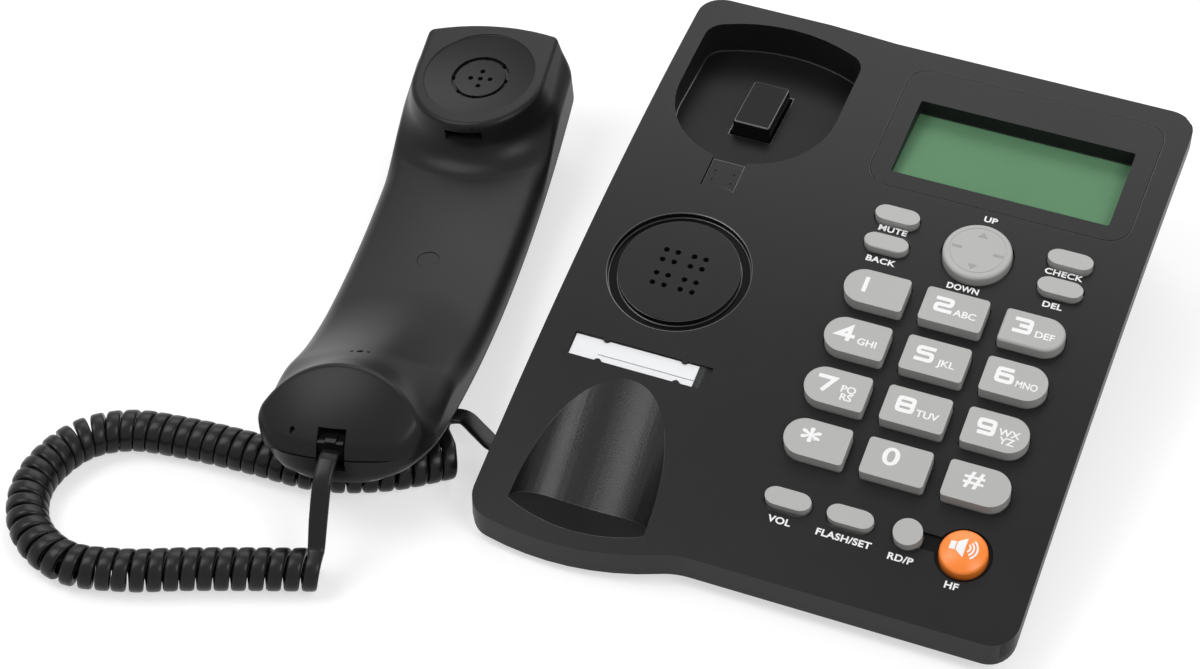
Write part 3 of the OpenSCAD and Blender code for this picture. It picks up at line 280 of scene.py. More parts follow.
def plastic(name, colour, roughness, grain=0.0, grain_scale=2600, cloud=0.12, specular=0.5):
    """Moulded plastic: a fine eroded grain in the bump, and a slow drift of tone and gloss over the part."""
    material, tree, shader = new_material(name, {"Specular IOR Level": specular})
    drift = add_noise(tree, DRIFT_SCALE, 3.0)
    tone = add_node(tree, "Mix", {})
    tone.data_type = "RGBA"
    darker, lighter = ((*[c * share for c in colour], 1) for share in (1 - cloud, 1 + cloud))
    set_inputs(tone, {"A": darker, "B": lighter})
    tree.links.new(drift, tone.inputs["Factor"])
    tree.links.new(tone.outputs["Result"], shader.inputs["Base Color"])
    gloss = add_range(tree, drift, roughness - GLOSS_DRIFT, roughness + GLOSS_DRIFT)
    tree.links.new(gloss, shader.inputs["Roughness"])
    if grain:
        bump = add_node(tree, "Bump", {"Strength": grain, "Distance": GRAIN_DEPTH})
        tree.links.new(add_noise(tree, grain_scale), bump.inputs["Height"])
        tree.links.new(bump.outputs["Normal"], shader.inputs["Normal"])
    return material


def clear_plastic(name, colour, alpha):
    """A thin clear window: mostly seen through, with a glossy face."""
    look = {"Base Color": (*colour, 1), "Alpha": alpha, "Specular IOR Level": 0.3}
    material, tree, shader = new_material(name, look)
    tree.links.new(add_range(tree, add_noise(tree, 90), 0.04, 0.09), shader.inputs["Roughness"])
    return material


def metal(name, colour, roughness):
    material, tree, shader = new_material(name, {"Base Color": (*colour, 1), "Metallic": 1})
    uneven = add_range(tree, add_noise(tree, 400), roughness * 0.7, roughness * 1.3)
    tree.links.new(uneven, shader.inputs["Roughness"])
    return material


CASE = plastic("black_case", (0.0105, 0.0105, 0.0112), 0.38, grain=0.2, specular=0.15)
HANDSET_BLACK = plastic("handset_case", (0.0085, 0.0085, 0.009), 0.34, grain=0.1, specular=0.15)
# Gloss black for jacks, plugs, the ring groove and the window walls; in the channel to the hands-free key it
# is painted shade
GLOSS = plastic("gloss_black", (0.006, 0.006, 0.0065), 0.12, cloud=0.05, specular=0.09)
# Partly painted light: the skirt and lower case are a touch lighter than the deck's black, as light on them;
# their higher gloss is real
CASE_WALL_LIT = plastic("black_case_wall_lit", (0.0115, 0.0115, 0.0122), 0.42, grain=0.2, specular=0.32)
# Painted highlight: a lighter black on the narrow edge roundings stands in for the light lines that rounded
# edges catch; its higher gloss is real
CASE_EDGE_HIGHLIGHT = plastic("black_case_edge_highlight", (0.03, 0.03, 0.031), 0.3, cloud=0.05, specular=0.7)
# Partly painted light: the scoop's bed is a touch lighter than the deck's black, as the lit bands on it; its
# grain and gloss are real
CASE_SCOOP_LIT = plastic("black_case_scoop_lit", (0.011, 0.011, 0.0116), 0.28, grain=0.4, grain_scale=2000,
                     specular=0.24)
# Painted shade: a darker, duller copy of the case black, on the ear well's floor, the scoop's end and steep
# sides, and the rim rounding
CASE_PAINTED_SHADE = plastic("black_case_painted_shade", (0.009, 0.009, 0.0096), 0.36, grain=0.2, specular=0.07)
HOOK_BLACK = plastic("hook_black", (0.0055, 0.0055, 0.006), 0.22, cloud=0.05, specular=0.05)
ACOUSTIC = plastic("acoustic_cloth", (0.012, 0.012, 0.012), 0.8, grain=0.4, grain_scale=1800, specular=0.1)
RUBBER = plastic("black_rubber", (0.02, 0.02, 0.02), 0.75, grain=0.3, grain_scale=1500)
CORD = plastic("cord_sleeve", (0.0075, 0.0075, 0.0079), 0.3, grain=0.05, specular=0.2)
KEY = plastic("grey_key", (0.4, 0.4, 0.39), 0.42, grain=0.08, cloud=0.03, specular=0.25)
ORANGE = plastic("orange_key", (0.92, 0.235, 0.03), 0.33, grain=0.03, cloud=0.04, specular=0.4)
PALE_RUBBER = plastic("pale_rubber", (0.5, 0.5, 0.47), 0.7, grain=0.1)
BOARD = plastic("green_board", (0.02, 0.14, 0.05), 0.3, cloud=0.2)
SCREEN = plastic("green_display", (0.105, 0.24, 0.125), 0.38, cloud=0.05, specular=0.02)
CARD = plastic("white_card", (0.83, 0.83, 0.85), 0.6, cloud=0.02)
PRINT = plastic("white_print", (0.8, 0.8, 0.8), 0.5, cloud=0.02, specular=0.2)
DARK_PRINT = plastic("dark_print", (0.28, 0.28, 0.275), 0.5, cloud=0.03)
CLEAR = clear_plastic("clear_window", (0.3, 0.33, 0.3), 0.04)
STEEL = metal("steel", (0.55, 0.55, 0.57), 0.32)


def give(obj, material, slot):
    obj.data.materials.clear()
    obj.data.materials.append(material)


def mesh_object(name, points, faces, smooth=None):
    """A mesh from points in metres and faces; an edge that turns more than smooth degrees stays sharp."""
    mesh = bpy.data.meshes.new(name)
    mesh.from_pydata([tuple(p) for p in points], [], [tuple(f) for f in faces])
    mesh.validate()
    if smooth is not None:
        mesh.shade_smooth()
        mesh.set_sharp_from_angle(angle=math.radians(smooth))
    return new_object(name, mesh)


def weld(bm, dist=WELD):
    """Joins points that lie together, and removes faces without area."""
    bmesh.ops.remove_doubles(bm, verts=bm.verts, dist=dist)
    bmesh.ops.dissolve_degenerate(bm, edges=bm.edges, dist=dist)


def weld_mesh(mesh, dist=WELD, outward=False):
    """Welds a mesh, and may turn its faces outward."""
    bm = bmesh.new()
    bm.from_mesh(mesh)
    weld(bm, dist)
    if outward:
        bmesh.ops.recalc_face_normals(bm, faces=bm.faces)
    bm.to_mesh(mesh)
    bm.free()


# The curly cord

def between(points, i, t):
    a, b = points[max(i - 1, 0)], points[i]
    c, d = points[i + 1], points[min(i + 2, len(points) - 1)]
    return b + t / 2 * (c - a + t * (2 * a - 5 * b + 4 * c - d + t * (3 * b - a - 3 * c + d)))


def smooth_line(points, steps, first, last):
    return np.array([between(points, i, k / steps) for i in range(first, last) for k in range(steps)])


def unit(rows):
    """The rows of an array as unit vectors."""
    return rows / np.linalg.norm(rows, axis=1)[:, None]


def curls_along(axis, steps, along):
    """How many curls lie before each point of the axis: a little open at first, and wider in a bend."""
    last = len(axis) - 1
    heading = np.diff(axis, axis=0) / steps[:, None]
    index = np.arange(last)
    fore, aft = np.maximum(index - 2, 0), np.minimum(index + 2, last - 1)
    turned = np.arccos(np.clip(np.sum(heading[fore] * heading[aft], axis=1), -1, 1))
    bend = turned / (along[np.minimum(index + 2, last)] - along[fore])
    pitch = CURL_PITCH + (OPEN_PITCH - CURL_PITCH) * np.maximum(0, 1 - along[:-1] / OPEN_RUN)
    return np.concatenate([[0], np.cumsum(steps / (pitch * (1 + BEND_SPREAD * bend)))])


def curl_line():
    """The centre line of the curls, and the side of each of its rings that faces away from their axis."""
    route = np.array(CURL_ROUTE, float)
    axis = np.vstack([smooth_line(route, AXIS_STEPS, 0, len(route) - 1), route[-1:]])
    steps = np.linalg.norm(np.diff(axis, axis=0), axis=1)
    along = np.concatenate([[0], np.cumsum(steps)])
    heading = unit(np.gradient(axis, along, axis=0))
    curls = curls_along(axis, steps, along)
    count = round(curls[-1])
    phase = np.linspace(0, count, count * CURL_RINGS + 1)
    index = np.arange(len(axis))
    place = np.interp(phase * curls[-1] / count, curls, index)
    x, y, ahead_x, ahead_y = (np.interp(place, index, values) for values in (*axis.T, *heading.T))
    ahead = unit(np.column_stack([ahead_x, ahead_y]))
    angle = -2 * math.pi * phase
    side = np.column_stack([ahead[:, 1] * np.sin(angle), -ahead[:, 0] * np.sin(angle), np.cos(angle)])
    centre = np.column_stack([x, y, np.full(len(phase), CURL_Z)])
    return centre + (CURL_D - CORD_D) / 2 * side, side


def cord_line():
    """The cord's line from plug to plug, the outward side of each ring, and which rings are on the curls."""
    coil, side = curl_line()
    exit_at = np.array(HANDSET @ (Vector(HANDSET_PLUG) * MM)) / MM
    leave = np.array(HANDSET @ ((Vector(HANDSET_PLUG) - Vector((0, TAIL_STRAIGHT, 0))) * MM)) / MM
    plug = np.array(BASE_PLUG, float)
    first = np.vstack([[leave], HANDSET_TAIL, coil[:1], coil[1:2] + (coil[1:2] - coil[:1]) * 2])
    last = np.vstack([coil[-2:-1] - (coil[-1:] - coil[-2:-1]) * 2, coil[-1:], BASE_TAIL,
                      [plug - (TAIL_STRAIGHT, 0, 0)], [plug]])
    first_run = np.vstack([[exit_at], smooth_line(first, TAIL_STEPS, 0, len(first) - 2)])
    last_run = np.vstack([smooth_line(last, TAIL_STEPS, 1, len(last) - 2)[1:], last[-2:]])
    line = np.vstack([first_run, coil, last_run])
    up = np.array([0, 0, 1.0])
    sides = np.vstack([np.tile(up, (len(first_run), 1)), side, np.tile(up, (len(last_run), 1))])
    return line, sides, len(first_run) + np.arange(len(coil))


def ease(t):
    t = np.clip(t, 0, 1)
    return t * t * (3 - 2 * t)


def sleeve_sizes(line, coil):
    """Half the sleeve's thickness and width at each ring, as wide on the curls as the next curl allows."""
    index = np.arange(len(line))
    reach = BLEND_RINGS
    blend = ease((index - coil[0] + reach) / reach) * ease((coil[-1] - index + reach) / reach)
    half_thick, room = (tail + (curl - tail) * blend for tail, curl in zip(TAIL_HALF, CURL_HALF))
    later, sooner = coil[CURL_RINGS:], coil[:-CURL_RINGS]
    apart = np.linalg.norm(line[later] - line[sooner], axis=1) / 2 - CURL_CLEAR
    room[later] = np.minimum(room[later], apart)
    room[sooner] = np.minimum(room[sooner], apart)
    window = np.ones(2 * reach + 1) / (2 * reach + 1)
    half_wide = np.convolve(np.pad(room, reach, mode="edge"), window, mode="valid")
    return half_thick, np.minimum(half_wide, room + WIDTH_SLACK)


def add_cord():
    """A flat four-wire sleeve, swept along the cord's line."""
    line, sides, coil = cord_line()
    tangent = unit(np.gradient(line, axis=0))
    out = unit(sides - np.sum(sides * tangent, axis=1)[:, None] * tangent)
    across = np.cross(tangent, out)
    half_thick, half_wide = sleeve_sizes(line, coil)
    corners = SLEEVE_CORNERS
    angles = 2 * math.pi * (np.arange(corners) + 0.5) / corners
    ca, sa = (np.sign(c) * np.abs(c) ** SLEEVE_POWER for c in (np.cos(angles), np.sin(angles)))
    rings = (line[:, None, :] + (half_thick[:, None] * ca)[:, :, None] * out[:, None, :]
             + (half_wide[:, None] * sa)[:, :, None] * across[:, None, :])
    count = len(line)
    faces = []
    for i in range(count - 1):
        for j in range(corners):
            k = (j + 1) % corners
            faces.append((i * corners + j, i * corners + k, (i + 1) * corners + k, (i + 1) * corners + j))
    faces.append(tuple(range(corners))[::-1])
    faces.append(tuple((count - 1) * corners + j for j in range(corners)))
    cord = mesh_object("curly_cord", rings.reshape(-1, 3) * MM, faces, smooth=50)
    give(cord, CORD, "cord_sleeve")
    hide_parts("handset_cord")
    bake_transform(cord)


add_cord()


# Rigid pieces with moulded edges

FLAT_TURN = math.radians(0.03)
SURFACE_TURN = math.radians(12)
ARCH_NEAR = 0.02
NARROW_EDGE = 1


def shade(mesh, surface=None, angle=32):
    """Sets the normals of the face corners.

    Faces that lie on surface take the normals that it gives. On the others a corner takes the mean over the
    faces at its point that turn less than angle, where a large face counts most.
    """
    mesh.shade_smooth()
    near, flat = math.cos(math.radians(angle)), math.cos(SURFACE_TURN)
    faces = [(p.normal.copy(), p.area) for p in mesh.polygons]
    given = [surface(v.co) if surface else None for v in mesh.vertices]
    on = [all(given[v] is not None and given[v].dot(normal) > flat for v in p.vertices)
          for p, (normal, _) in zip(mesh.polygons, faces)]
    around = [[] for _ in mesh.vertices]
    for i, polygon in enumerate(mesh.polygons):
        for v in polygon.vertices:
            around[v].append(i)
    corners = [None] * len(mesh.loops)
    for i, polygon in enumerate(mesh.polygons):
        own = faces[i][0]
        for loop, v in zip(polygon.loop_indices, polygon.vertices):
            beside = [faces[j] for j in around[v] if on[j] == on[i] and own.dot(faces[j][0]) > near]
            mean = sum((normal * area for normal, area in beside), Vector())
            corners[loop] = given[v] if on[i] else mean.normalized() if mean.length else own
    mesh.normals_split_custom_set(corners)


ARCH_AXIS = Vector((0, DECK_R * math.sin(DECK_TILT), MID_Z - DECK_R * math.cos(DECK_TILT))) * MM


def deck_depth(point):
    """How far below the deck's arch a point is, in millimetres."""
    return DECK_R - math.hypot(point.y - ARCH_AXIS.y, point.z - ARCH_AXIS.z) / MM


def deck_normal(point):
    """The normal of the deck's arch at a point on it, or None away from it."""
    reach = Vector((0, point.y - ARCH_AXIS.y, point.z - ARCH_AXIS.z))
    return reach.normalized() if abs(deck_depth(point)) < ARCH_NEAR else None


def chains(lines):
    """Splits edges into lists of those that hang together."""
    left = dict.fromkeys(lines)
    found = []
    while left:
        chain, queue = [], [next(iter(left))]
        del left[queue[0]]
        while queue:
            line = queue.pop()
            chain.append(line)
            for beside in (e for vert in line.verts for e in vert.link_edges if e in left):
                del left[beside]
                queue.append(beside)
        found.append(chain)
    return found


def round_edges(bm, width, segments, angle, widths, highlight_mark):
    """Rounds the edges that turn more than angle degrees; narrow roundings take the finish at the last
    argument, a lighter painted highlight when given.
    """
    groups = {}
    for line in bm.edges:
        if len(line.link_faces) == 2 and line.calc_face_angle() > math.radians(angle):
            own = widths(line) if widths else None
            groups.setdefault(width if own is None else own, []).append(line)
    for size in sorted(groups, reverse=True):
        for chain in chains([e for e in groups[size] if e.is_valid]):
            bmesh.ops.bevel(bm, geom=[e for e in chain if e.is_valid], offset=size * MM,
                            offset_type="OFFSET", segments=segments, profile=0.5, affect="EDGES",
                            clamp_overlap=True, material=highlight_mark if size < NARROW_EDGE else 0)


def soften(node, material, slot, width=0.4, segments=2, angle=35, widths=None, surface=None, move=None,
           edge=None, finishes=()):
    """A copy of a CAD piece with its sharp edges rounded.

    widths may give an edge its own radius in millimetres, and move shifts the points first. edge is the
    finish of narrow roundings, a lighter painted highlight, and finishes are others, each with a test of a
    face's points and normal.
    """
    source = nodes[node]
    bm = bmesh.new()
    bm.from_mesh(source.data)
    bmesh.ops.remove_doubles(bm, verts=bm.verts, dist=WELD)
    bmesh.ops.dissolve_limit(bm, angle_limit=FLAT_TURN, verts=bm.verts, edges=bm.edges, delimit=set())
    if move:
        for vert in bm.verts:
            vert.co = move(vert.co)
    edge_highlight = [edge] if edge else []
    round_edges(bm, width, segments, angle, widths, len(edge_highlight))
    weld(bm)
    marks = [face.material_index for face in bm.faces]
    mesh = bpy.data.meshes.new(node + "_skin")
    bm.to_mesh(mesh)
    bm.free()
    shade(mesh, surface)
    obj = new_object(node + "_skin", mesh)
    give(obj, material, slot)
    for finish in edge_highlight + [own for own, _ in finishes]:
        mesh.materials.append(finish)
    mesh.polygons.foreach_set("material_index", marks)
    for i, (_, test) in enumerate(finishes, 1 + len(edge_highlight)):
        for polygon in mesh.polygons:
            points = [mesh.vertices[v].co for v in polygon.vertices]
            if not polygon.material_index and test(points, polygon.normal):
                polygon.material_index = i
    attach(obj, source["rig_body"])
    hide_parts(node)


DIAL_KEYS = [f"key_{sign}" for sign in (*range(1, 10), "star", 0, "hash")]
PILL_KEYS = {"mute_key": (PAD_X - SIDE_KEYS, 127.8), "back_key": (PAD_X - SIDE_KEYS, 117.4),
             "check_key": (PAD_X + SIDE_KEYS, 127.8), "delete_key": (PAD_X + SIDE_KEYS, 117.4),
             "volume_key": (7.3, 25.1), "flash_key": (25.7, 25.1)}
PILL_DEPTH = 0.8
PILL_RISE = 0.7
PILL_SHIFT = {"back_key": 0.45, "delete_key": 0.45}
LABEL_AT = (CRADLE_X, 55.9)
CARD_TOP = -0.6
CARD_GAP = 2.2
CARD_CLEAR = 0.06
CARD_END = 17
CARD_SKIN = 0.15
NAV_AT = (PAD_X, 121.7)
NAV_TOP = 3
NAV_RISE = 0.85
GROOVE_EDGES = (9.2, 1.5)
GROOVE_POINTS = (9.5, 2)
GROOVE_ROUNDING = 0.12
GROOVE_FILL = 0.5
REDIAL_AT = (42.5, 25)
HANDSFREE_AT = (58.9, 24)


def key_at(index):
    return PAD_X + (index % 3 - 1) * COL_PITCH, PAD_V - index // 3 * ROW_PITCH


HOOK_MIDDLE = deck(CRADLE_X, 163.5).translation
WELL_Z = 37.3
HOOK_UP = 6.3
HOOK_TAPER = 0.06
HOOK_DROP = 1.6


def hook_taper(co):
    """Draws the hook button's sides in towards its top, and its top down a little."""
    rise = max(0.0, co.z / MM - WELL_Z) / HOOK_UP
    moved = co.lerp(HOOK_MIDDLE, HOOK_TAPER * rise)
    return Vector((moved.x, moved.y, co.z - HOOK_DROP * rise * MM))


def squeezed(at, shift):
    """Draws a pill key's sides in and its top down, about its middle at the deck, and shifts it forward."""
    place = deck(*at)
    back = place.inverted()

    def move(co):
        local = back @ co
        z = local.z * PILL_RISE if local.z > 0 else local.z
        return place @ Vector((local.x, local.y * PILL_DEPTH - shift * MM, z))
    return move


BEZEL_AT = (32.4, 165)
WINDOW = (67.6, 31, -4.2)
WINDOW_EDGE = 0.25
WALL_SPARE = 0.3


def on_deck(points, at):
    """Points in the frame on the deck at a place, in millimetres."""
    back = deck(*at).inverted()
    return [back @ point / MM for point in points]


def in_window(points, normal):
    """On the walls of the display's window, below its edge."""
    wide, high, middle = WINDOW
    return all(abs(p.x) < wide / 2 + WALL_SPARE and abs(p.y - middle) < high / 2 + WALL_SPARE
               and p.z < -WINDOW_EDGE for p in on_deck(points, BEZEL_AT))


for key in DIAL_KEYS:
    soften(key, KEY, "grey_key", width=0.9, segments=5)
for key, at in PILL_KEYS.items():
    soften(key, KEY, "grey_key", width=1.0, segments=5, move=squeezed(at, PILL_SHIFT.get(key, 0.0)))
soften("redial_key", KEY, "grey_key", width=1.1, segments=5)


def nav_width(edge):
    """The disc's outer edge has a wide rounding, and its groove a narrow one."""
    reach, low = GROOVE_EDGES
    local = deck(*NAV_AT).inverted() @ ((edge.verts[0].co + edge.verts[1].co) / 2) / MM
    return GROOVE_ROUNDING if math.hypot(local.x, local.y) < reach and local.z > low else None


def nav_shallow(co):
    """Makes the disc's groove shallower, and the disc a little lower."""
    reach, low = GROOVE_POINTS
    place = deck(*NAV_AT)
    local = place.inverted() @ co
    if math.hypot(local.x, local.y) < reach * MM and local.z > low * MM:
        local.z += (NAV_TOP * MM - local.z) * GROOVE_FILL
    if local.z > 0:
        local.z *= NAV_RISE
    return place @ local


soften("navigation_key", KEY, "grey_key", width=1.0, segments=5, widths=nav_width, move=nav_shallow)
soften("handsfree_key", ORANGE, "orange_key", width=1.2, segments=6, angle=30)
soften("hook_button", HOOK_BLACK, "black_case", width=0.4, segments=3, move=hook_taper, edge=CASE_EDGE_HIGHLIGHT)
soften("wall_hook_tab", CASE, "black_case", width=0.3, edge=CASE_EDGE_HIGHLIGHT)
soften("display_bezel", CASE, "black_case", width=0.3, angle=30, surface=deck_normal, edge=CASE_EDGE_HIGHLIGHT,
       finishes=[(GLOSS, in_window)])
soften("lower_case", CASE_WALL_LIT, "black_case", width=0.5)
soften("rubber_feet", RUBBER, "black_rubber", width=0.5)


def card_end(co):
    """Draws the label card's right end back from the end of its recess, and its top clear of the cover."""
    place = deck(*LABEL_AT)
    local = place.inverted() @ co / MM
    x = local.x - CARD_GAP if local.x > CARD_END else local.x
    z = local.z - CARD_CLEAR if local.z > CARD_TOP - CARD_SKIN else local.z
    return place @ (Vector((x, local.y, z)) * MM)


soften("label_card", CARD, "white_card", width=0.05, move=card_end)


OUTLINE = (79, -94.5, 97)
RIM_WIDTH = 1.3


def at_outline(point, margin=0.0):
    """Near the deck's outline: past its side, front or rear line, drawn in by margin millimetres."""
    side, front, rear = OUTLINE
    return abs(point.x / MM) > side - margin or not front + margin < point.y / MM < rear - margin


def rim_width(edge):
    """The deck's outer rim has a wider rounding than the edges of its holes."""
    middle = (edge.verts[0].co + edge.verts[1].co) / 2
    normals = [f.normal for f in edge.link_faces]
    wall = any(abs(n.z) < 0.05 and n.x * middle.x + n.y * middle.y > 0 for n in normals)
    top = any(n.z > 0.8 for n in normals)
    return RIM_WIDTH if at_outline(middle) and wall and top else None


SPEAKER_AT = (CRADLE_X, 89.1)
SPEAKER_RING = (18.3, 21.4)
RING_DEPTHS = (0.2, 4)
CHANNEL_ENDS = (8, 11)
CHANNEL_HALF = 12
CHANNEL_DEPTHS = (0.15, 1.6)
SCOOP_HALF = 26
SCOOP_REAR = -30
SCOOP_DEPTHS = (1, 16)
WELL_NEAR = 0.5
WELL_DEPTH = 1
RIM_SPARE = 1
RIM_DEPTH = 0.1


def in_ring(points, normal):
    """On the walls and floor of the groove round the loudspeaker grille."""
    inner, outer = SPEAKER_RING
    return all(inner - WALL_SPARE < math.hypot(p.x, p.y) < outer + WALL_SPARE
               and RING_DEPTHS[0] < -p.z < RING_DEPTHS[1] for p in on_deck(points, SPEAKER_AT))


def in_shaded_channel(points, normal):
    """On the walls and floor of the channel to the hands-free key, which take the dark gloss black as painted
    shade.
    """
    left, right = -CHANNEL_ENDS[0], HANDSFREE_AT[0] - REDIAL_AT[0] + CHANNEL_ENDS[1]
    return all(left < p.x < right and abs(p.y) < CHANNEL_HALF
               and CHANNEL_DEPTHS[0] < -p.z < CHANNEL_DEPTHS[1] for p in on_deck(points, REDIAL_AT))


def on_well_floor(points, normal):
    """On the ear well's floor."""
    return (normal.z > 0.9 and all(abs(p.z / MM - WELL_Z) < WELL_NEAR for p in points)
            and any(deck_depth(p) > WELL_DEPTH for p in points))


def in_scoop(points, normal):
    """In the hollow for the handset's mouth end."""
    inside = all(abs(p.x / MM - CRADLE_X) < SCOOP_HALF and p.y < SCOOP_REAR * MM for p in points)
    return (normal.z > 0.1 and inside
            and any(SCOOP_DEPTHS[0] < deck_depth(p) < SCOOP_DEPTHS[1] for p in points))


def on_scoop_bed(points, normal):
    """On the part of that hollow where the handset's mouth end lies."""
    return normal.y < -0.1 and in_scoop(points, normal)


def on_rim(points, normal):
    """On the rounding between the deck and its skirt."""
    return (0.3 < normal.z < 0.97 and all(at_outline(p, RIM_SPARE) for p in points)
            and any(deck_depth(p) > RIM_DEPTH for p in points))


def on_outer_wall(points, normal):
    """On the skirt round the deck."""
    return abs(normal.z) < 0.3 and all(at_outline(p) for p in points)


# Painted shade on the channel, the ear well's floor, the scoop's end and the rim; the skirt and the scoop's
# bed are a touch lighter, as painted light
soften("upper_case", CASE, "black_case", width=0.35, widths=rim_width, surface=deck_normal, edge=CASE_EDGE_HIGHLIGHT,
       finishes=[(GLOSS, in_ring), (GLOSS, in_shaded_channel), (CASE_PAINTED_SHADE, on_well_floor),
                 (CASE_SCOOP_LIT, on_scoop_bed), (CASE_PAINTED_SHADE, in_scoop), (CASE_WALL_LIT, on_outer_wall),
                 (CASE_PAINTED_SHADE, on_rim)])

# Pieces that keep their CAD shape, by finish and slot
PLAIN = [
    (STEEL, "steel", ["case_screws", "board_screws", "hook_spring", "handset_weight", "handset_screw"]),
    (GLOSS, "gloss_black", ["hook_switch", "loudspeaker", "base_handset_jack", "line_jack",
                            "handset_jack", "handset_end_plug", "base_end_plug"]),
    (ACOUSTIC, "steel", ["receiver_capsule", "microphone_capsule"]),
    (CLEAR, "clear_window", ["display_lens", "label_cover"]),
    (SCREEN, "green_display", ["display_panel"]),
    (BOARD, "green_board", ["main_board"]),
    (PALE_RUBBER, "pale_rubber", ["keypad_membrane"]),
    (HANDSET_BLACK, "black_case", ["screw_plug"])]
for material, slot, names in PLAIN:
    for name in names:
        give(nodes[name], material, slot)


# The handset: one smooth body by formula, cut in two at its seam

def round_max(a, b, r):
    """Both a and b, with a round outer edge of radius r where they meet."""
    return np.minimum(np.maximum(a, b), -r) + np.hypot(np.maximum(a + r, 0), np.maximum(b + r, 0))


def round_min(a, b, r):
    """Either a or b, with a hollow fillet of radius r where they meet."""
    return -round_max(-a, -b, r)


def seam_z(y):
    return SEAM_R - np.sqrt(SEAM_R ** 2 - np.square(y))


def outline_gap(x, y, mouth_corner=MOUTH_CORNER):
    """Distance outside the handset's outline, seen from above."""
    ear, mouth = ((HANDSET_HALF_W ** 2 + sag ** 2) / (2 * sag) for sag in (EAR_SAG, MOUTH_SAG))
    ear_end = np.hypot(x, np.maximum(y - HANDSET_HALF + ear, 0)) - ear
    mouth_end = np.hypot(x, np.minimum(y + HANDSET_HALF - mouth, 0)) - mouth
    corner = np.where(y > 0, EAR_CORNER, mouth_corner)
    return round_max(np.abs(x) - HANDSET_HALF_W, np.maximum(ear_end, mouth_end), corner)


def ear_place(y, z):
    """Where a point is against the ear face: along it from its front edge, and out of it."""
    y, z = y - EAR_FRONT[0], z - EAR_FRONT[1]
    return y * math.cos(EAR_TILT) + z * math.sin(EAR_TILT), z * math.cos(EAR_TILT) - y * math.sin(EAR_TILT)


def front_gap(x, y, z):
    """Distance outside the front shell: the grip, the ear block, and the mouth end cut by a ball."""
    grip_up = GRIP_UP * ease((y - GRIP_FROM) / GRIP_RAMP)
    grip = z - seam_z(y) - grip_up + GRIP_CROWN * np.square(x / HANDSET_HALF_W)
    along, face = ear_place(y, z)
    wall = np.hypot(x, np.minimum(along - EAR_R, 0)) - EAR_R + EAR_DRAFT * np.clip(face, -EAR_DEEP, 0)
    ear = round_max(wall / math.hypot(1, EAR_DRAFT), face, EAR_EDGE)
    rise = (y - RIDGE[0]) * math.sin(MOUTH_SLOPE) + (z - RIDGE[1]) * math.cos(MOUTH_SLOPE) + MOUTH_R
    barrel = np.hypot(x, rise) - MOUTH_R
    top = round_min(round_min(grip, ear, EAR_FILLET), barrel, MOUTH_FILLET)
    ball = np.sqrt(x ** 2 + np.minimum(y - END_BALL[0], 0) ** 2 + (z - END_BALL[1]) ** 2) - END_BALL_R
    top = round_max(top, ball - END_LIFT * ease((y - END_BALL[0]) / END_RAMP), END_EDGE)
    edge = (GRIP_EDGE + (EAR_END_EDGE - GRIP_EDGE) * ease((y - GRIP_REACH) / EAR_RAMP)
            + (MOUTH_END_EDGE - GRIP_EDGE) * ease((-GRIP_REACH - y) / MOUTH_RAMP))
    return round_max(outline_gap(x, y, FRONT_CORNER), top, edge)


def mic_z(y):
    return RIDGE[1] - (y - RIDGE[0]) * math.tan(MOUTH_SLOPE)


def dish_depth(r):
    return -DISH_LIP - DISH_BOWL * (1 - np.square(r / (DISH_R - DISH_RIM)))


def dish_gap(x, y, z):
    """Height above the hollow in the ear face, and a large number outside its rim."""
    along, face = ear_place(y, z)
    reach = np.hypot(x, along - EAR_MID)
    return np.where(reach < DISH_R - DISH_RIM / 2, face - dish_depth(reach), 9)


def back_gap(x, y, z):
    """Distance outside the back shell, crowned along and across."""
    crown = np.hypot(x, np.hypot(y, SEAM_R - z) - SEAM_R - BACK_DEPTH + BACK_CROWN) - BACK_CROWN
    return round_max(outline_gap(x, y), crown, BACK_EDGE)


RAY_REACH = 60.0
RAY_HALVINGS = 40


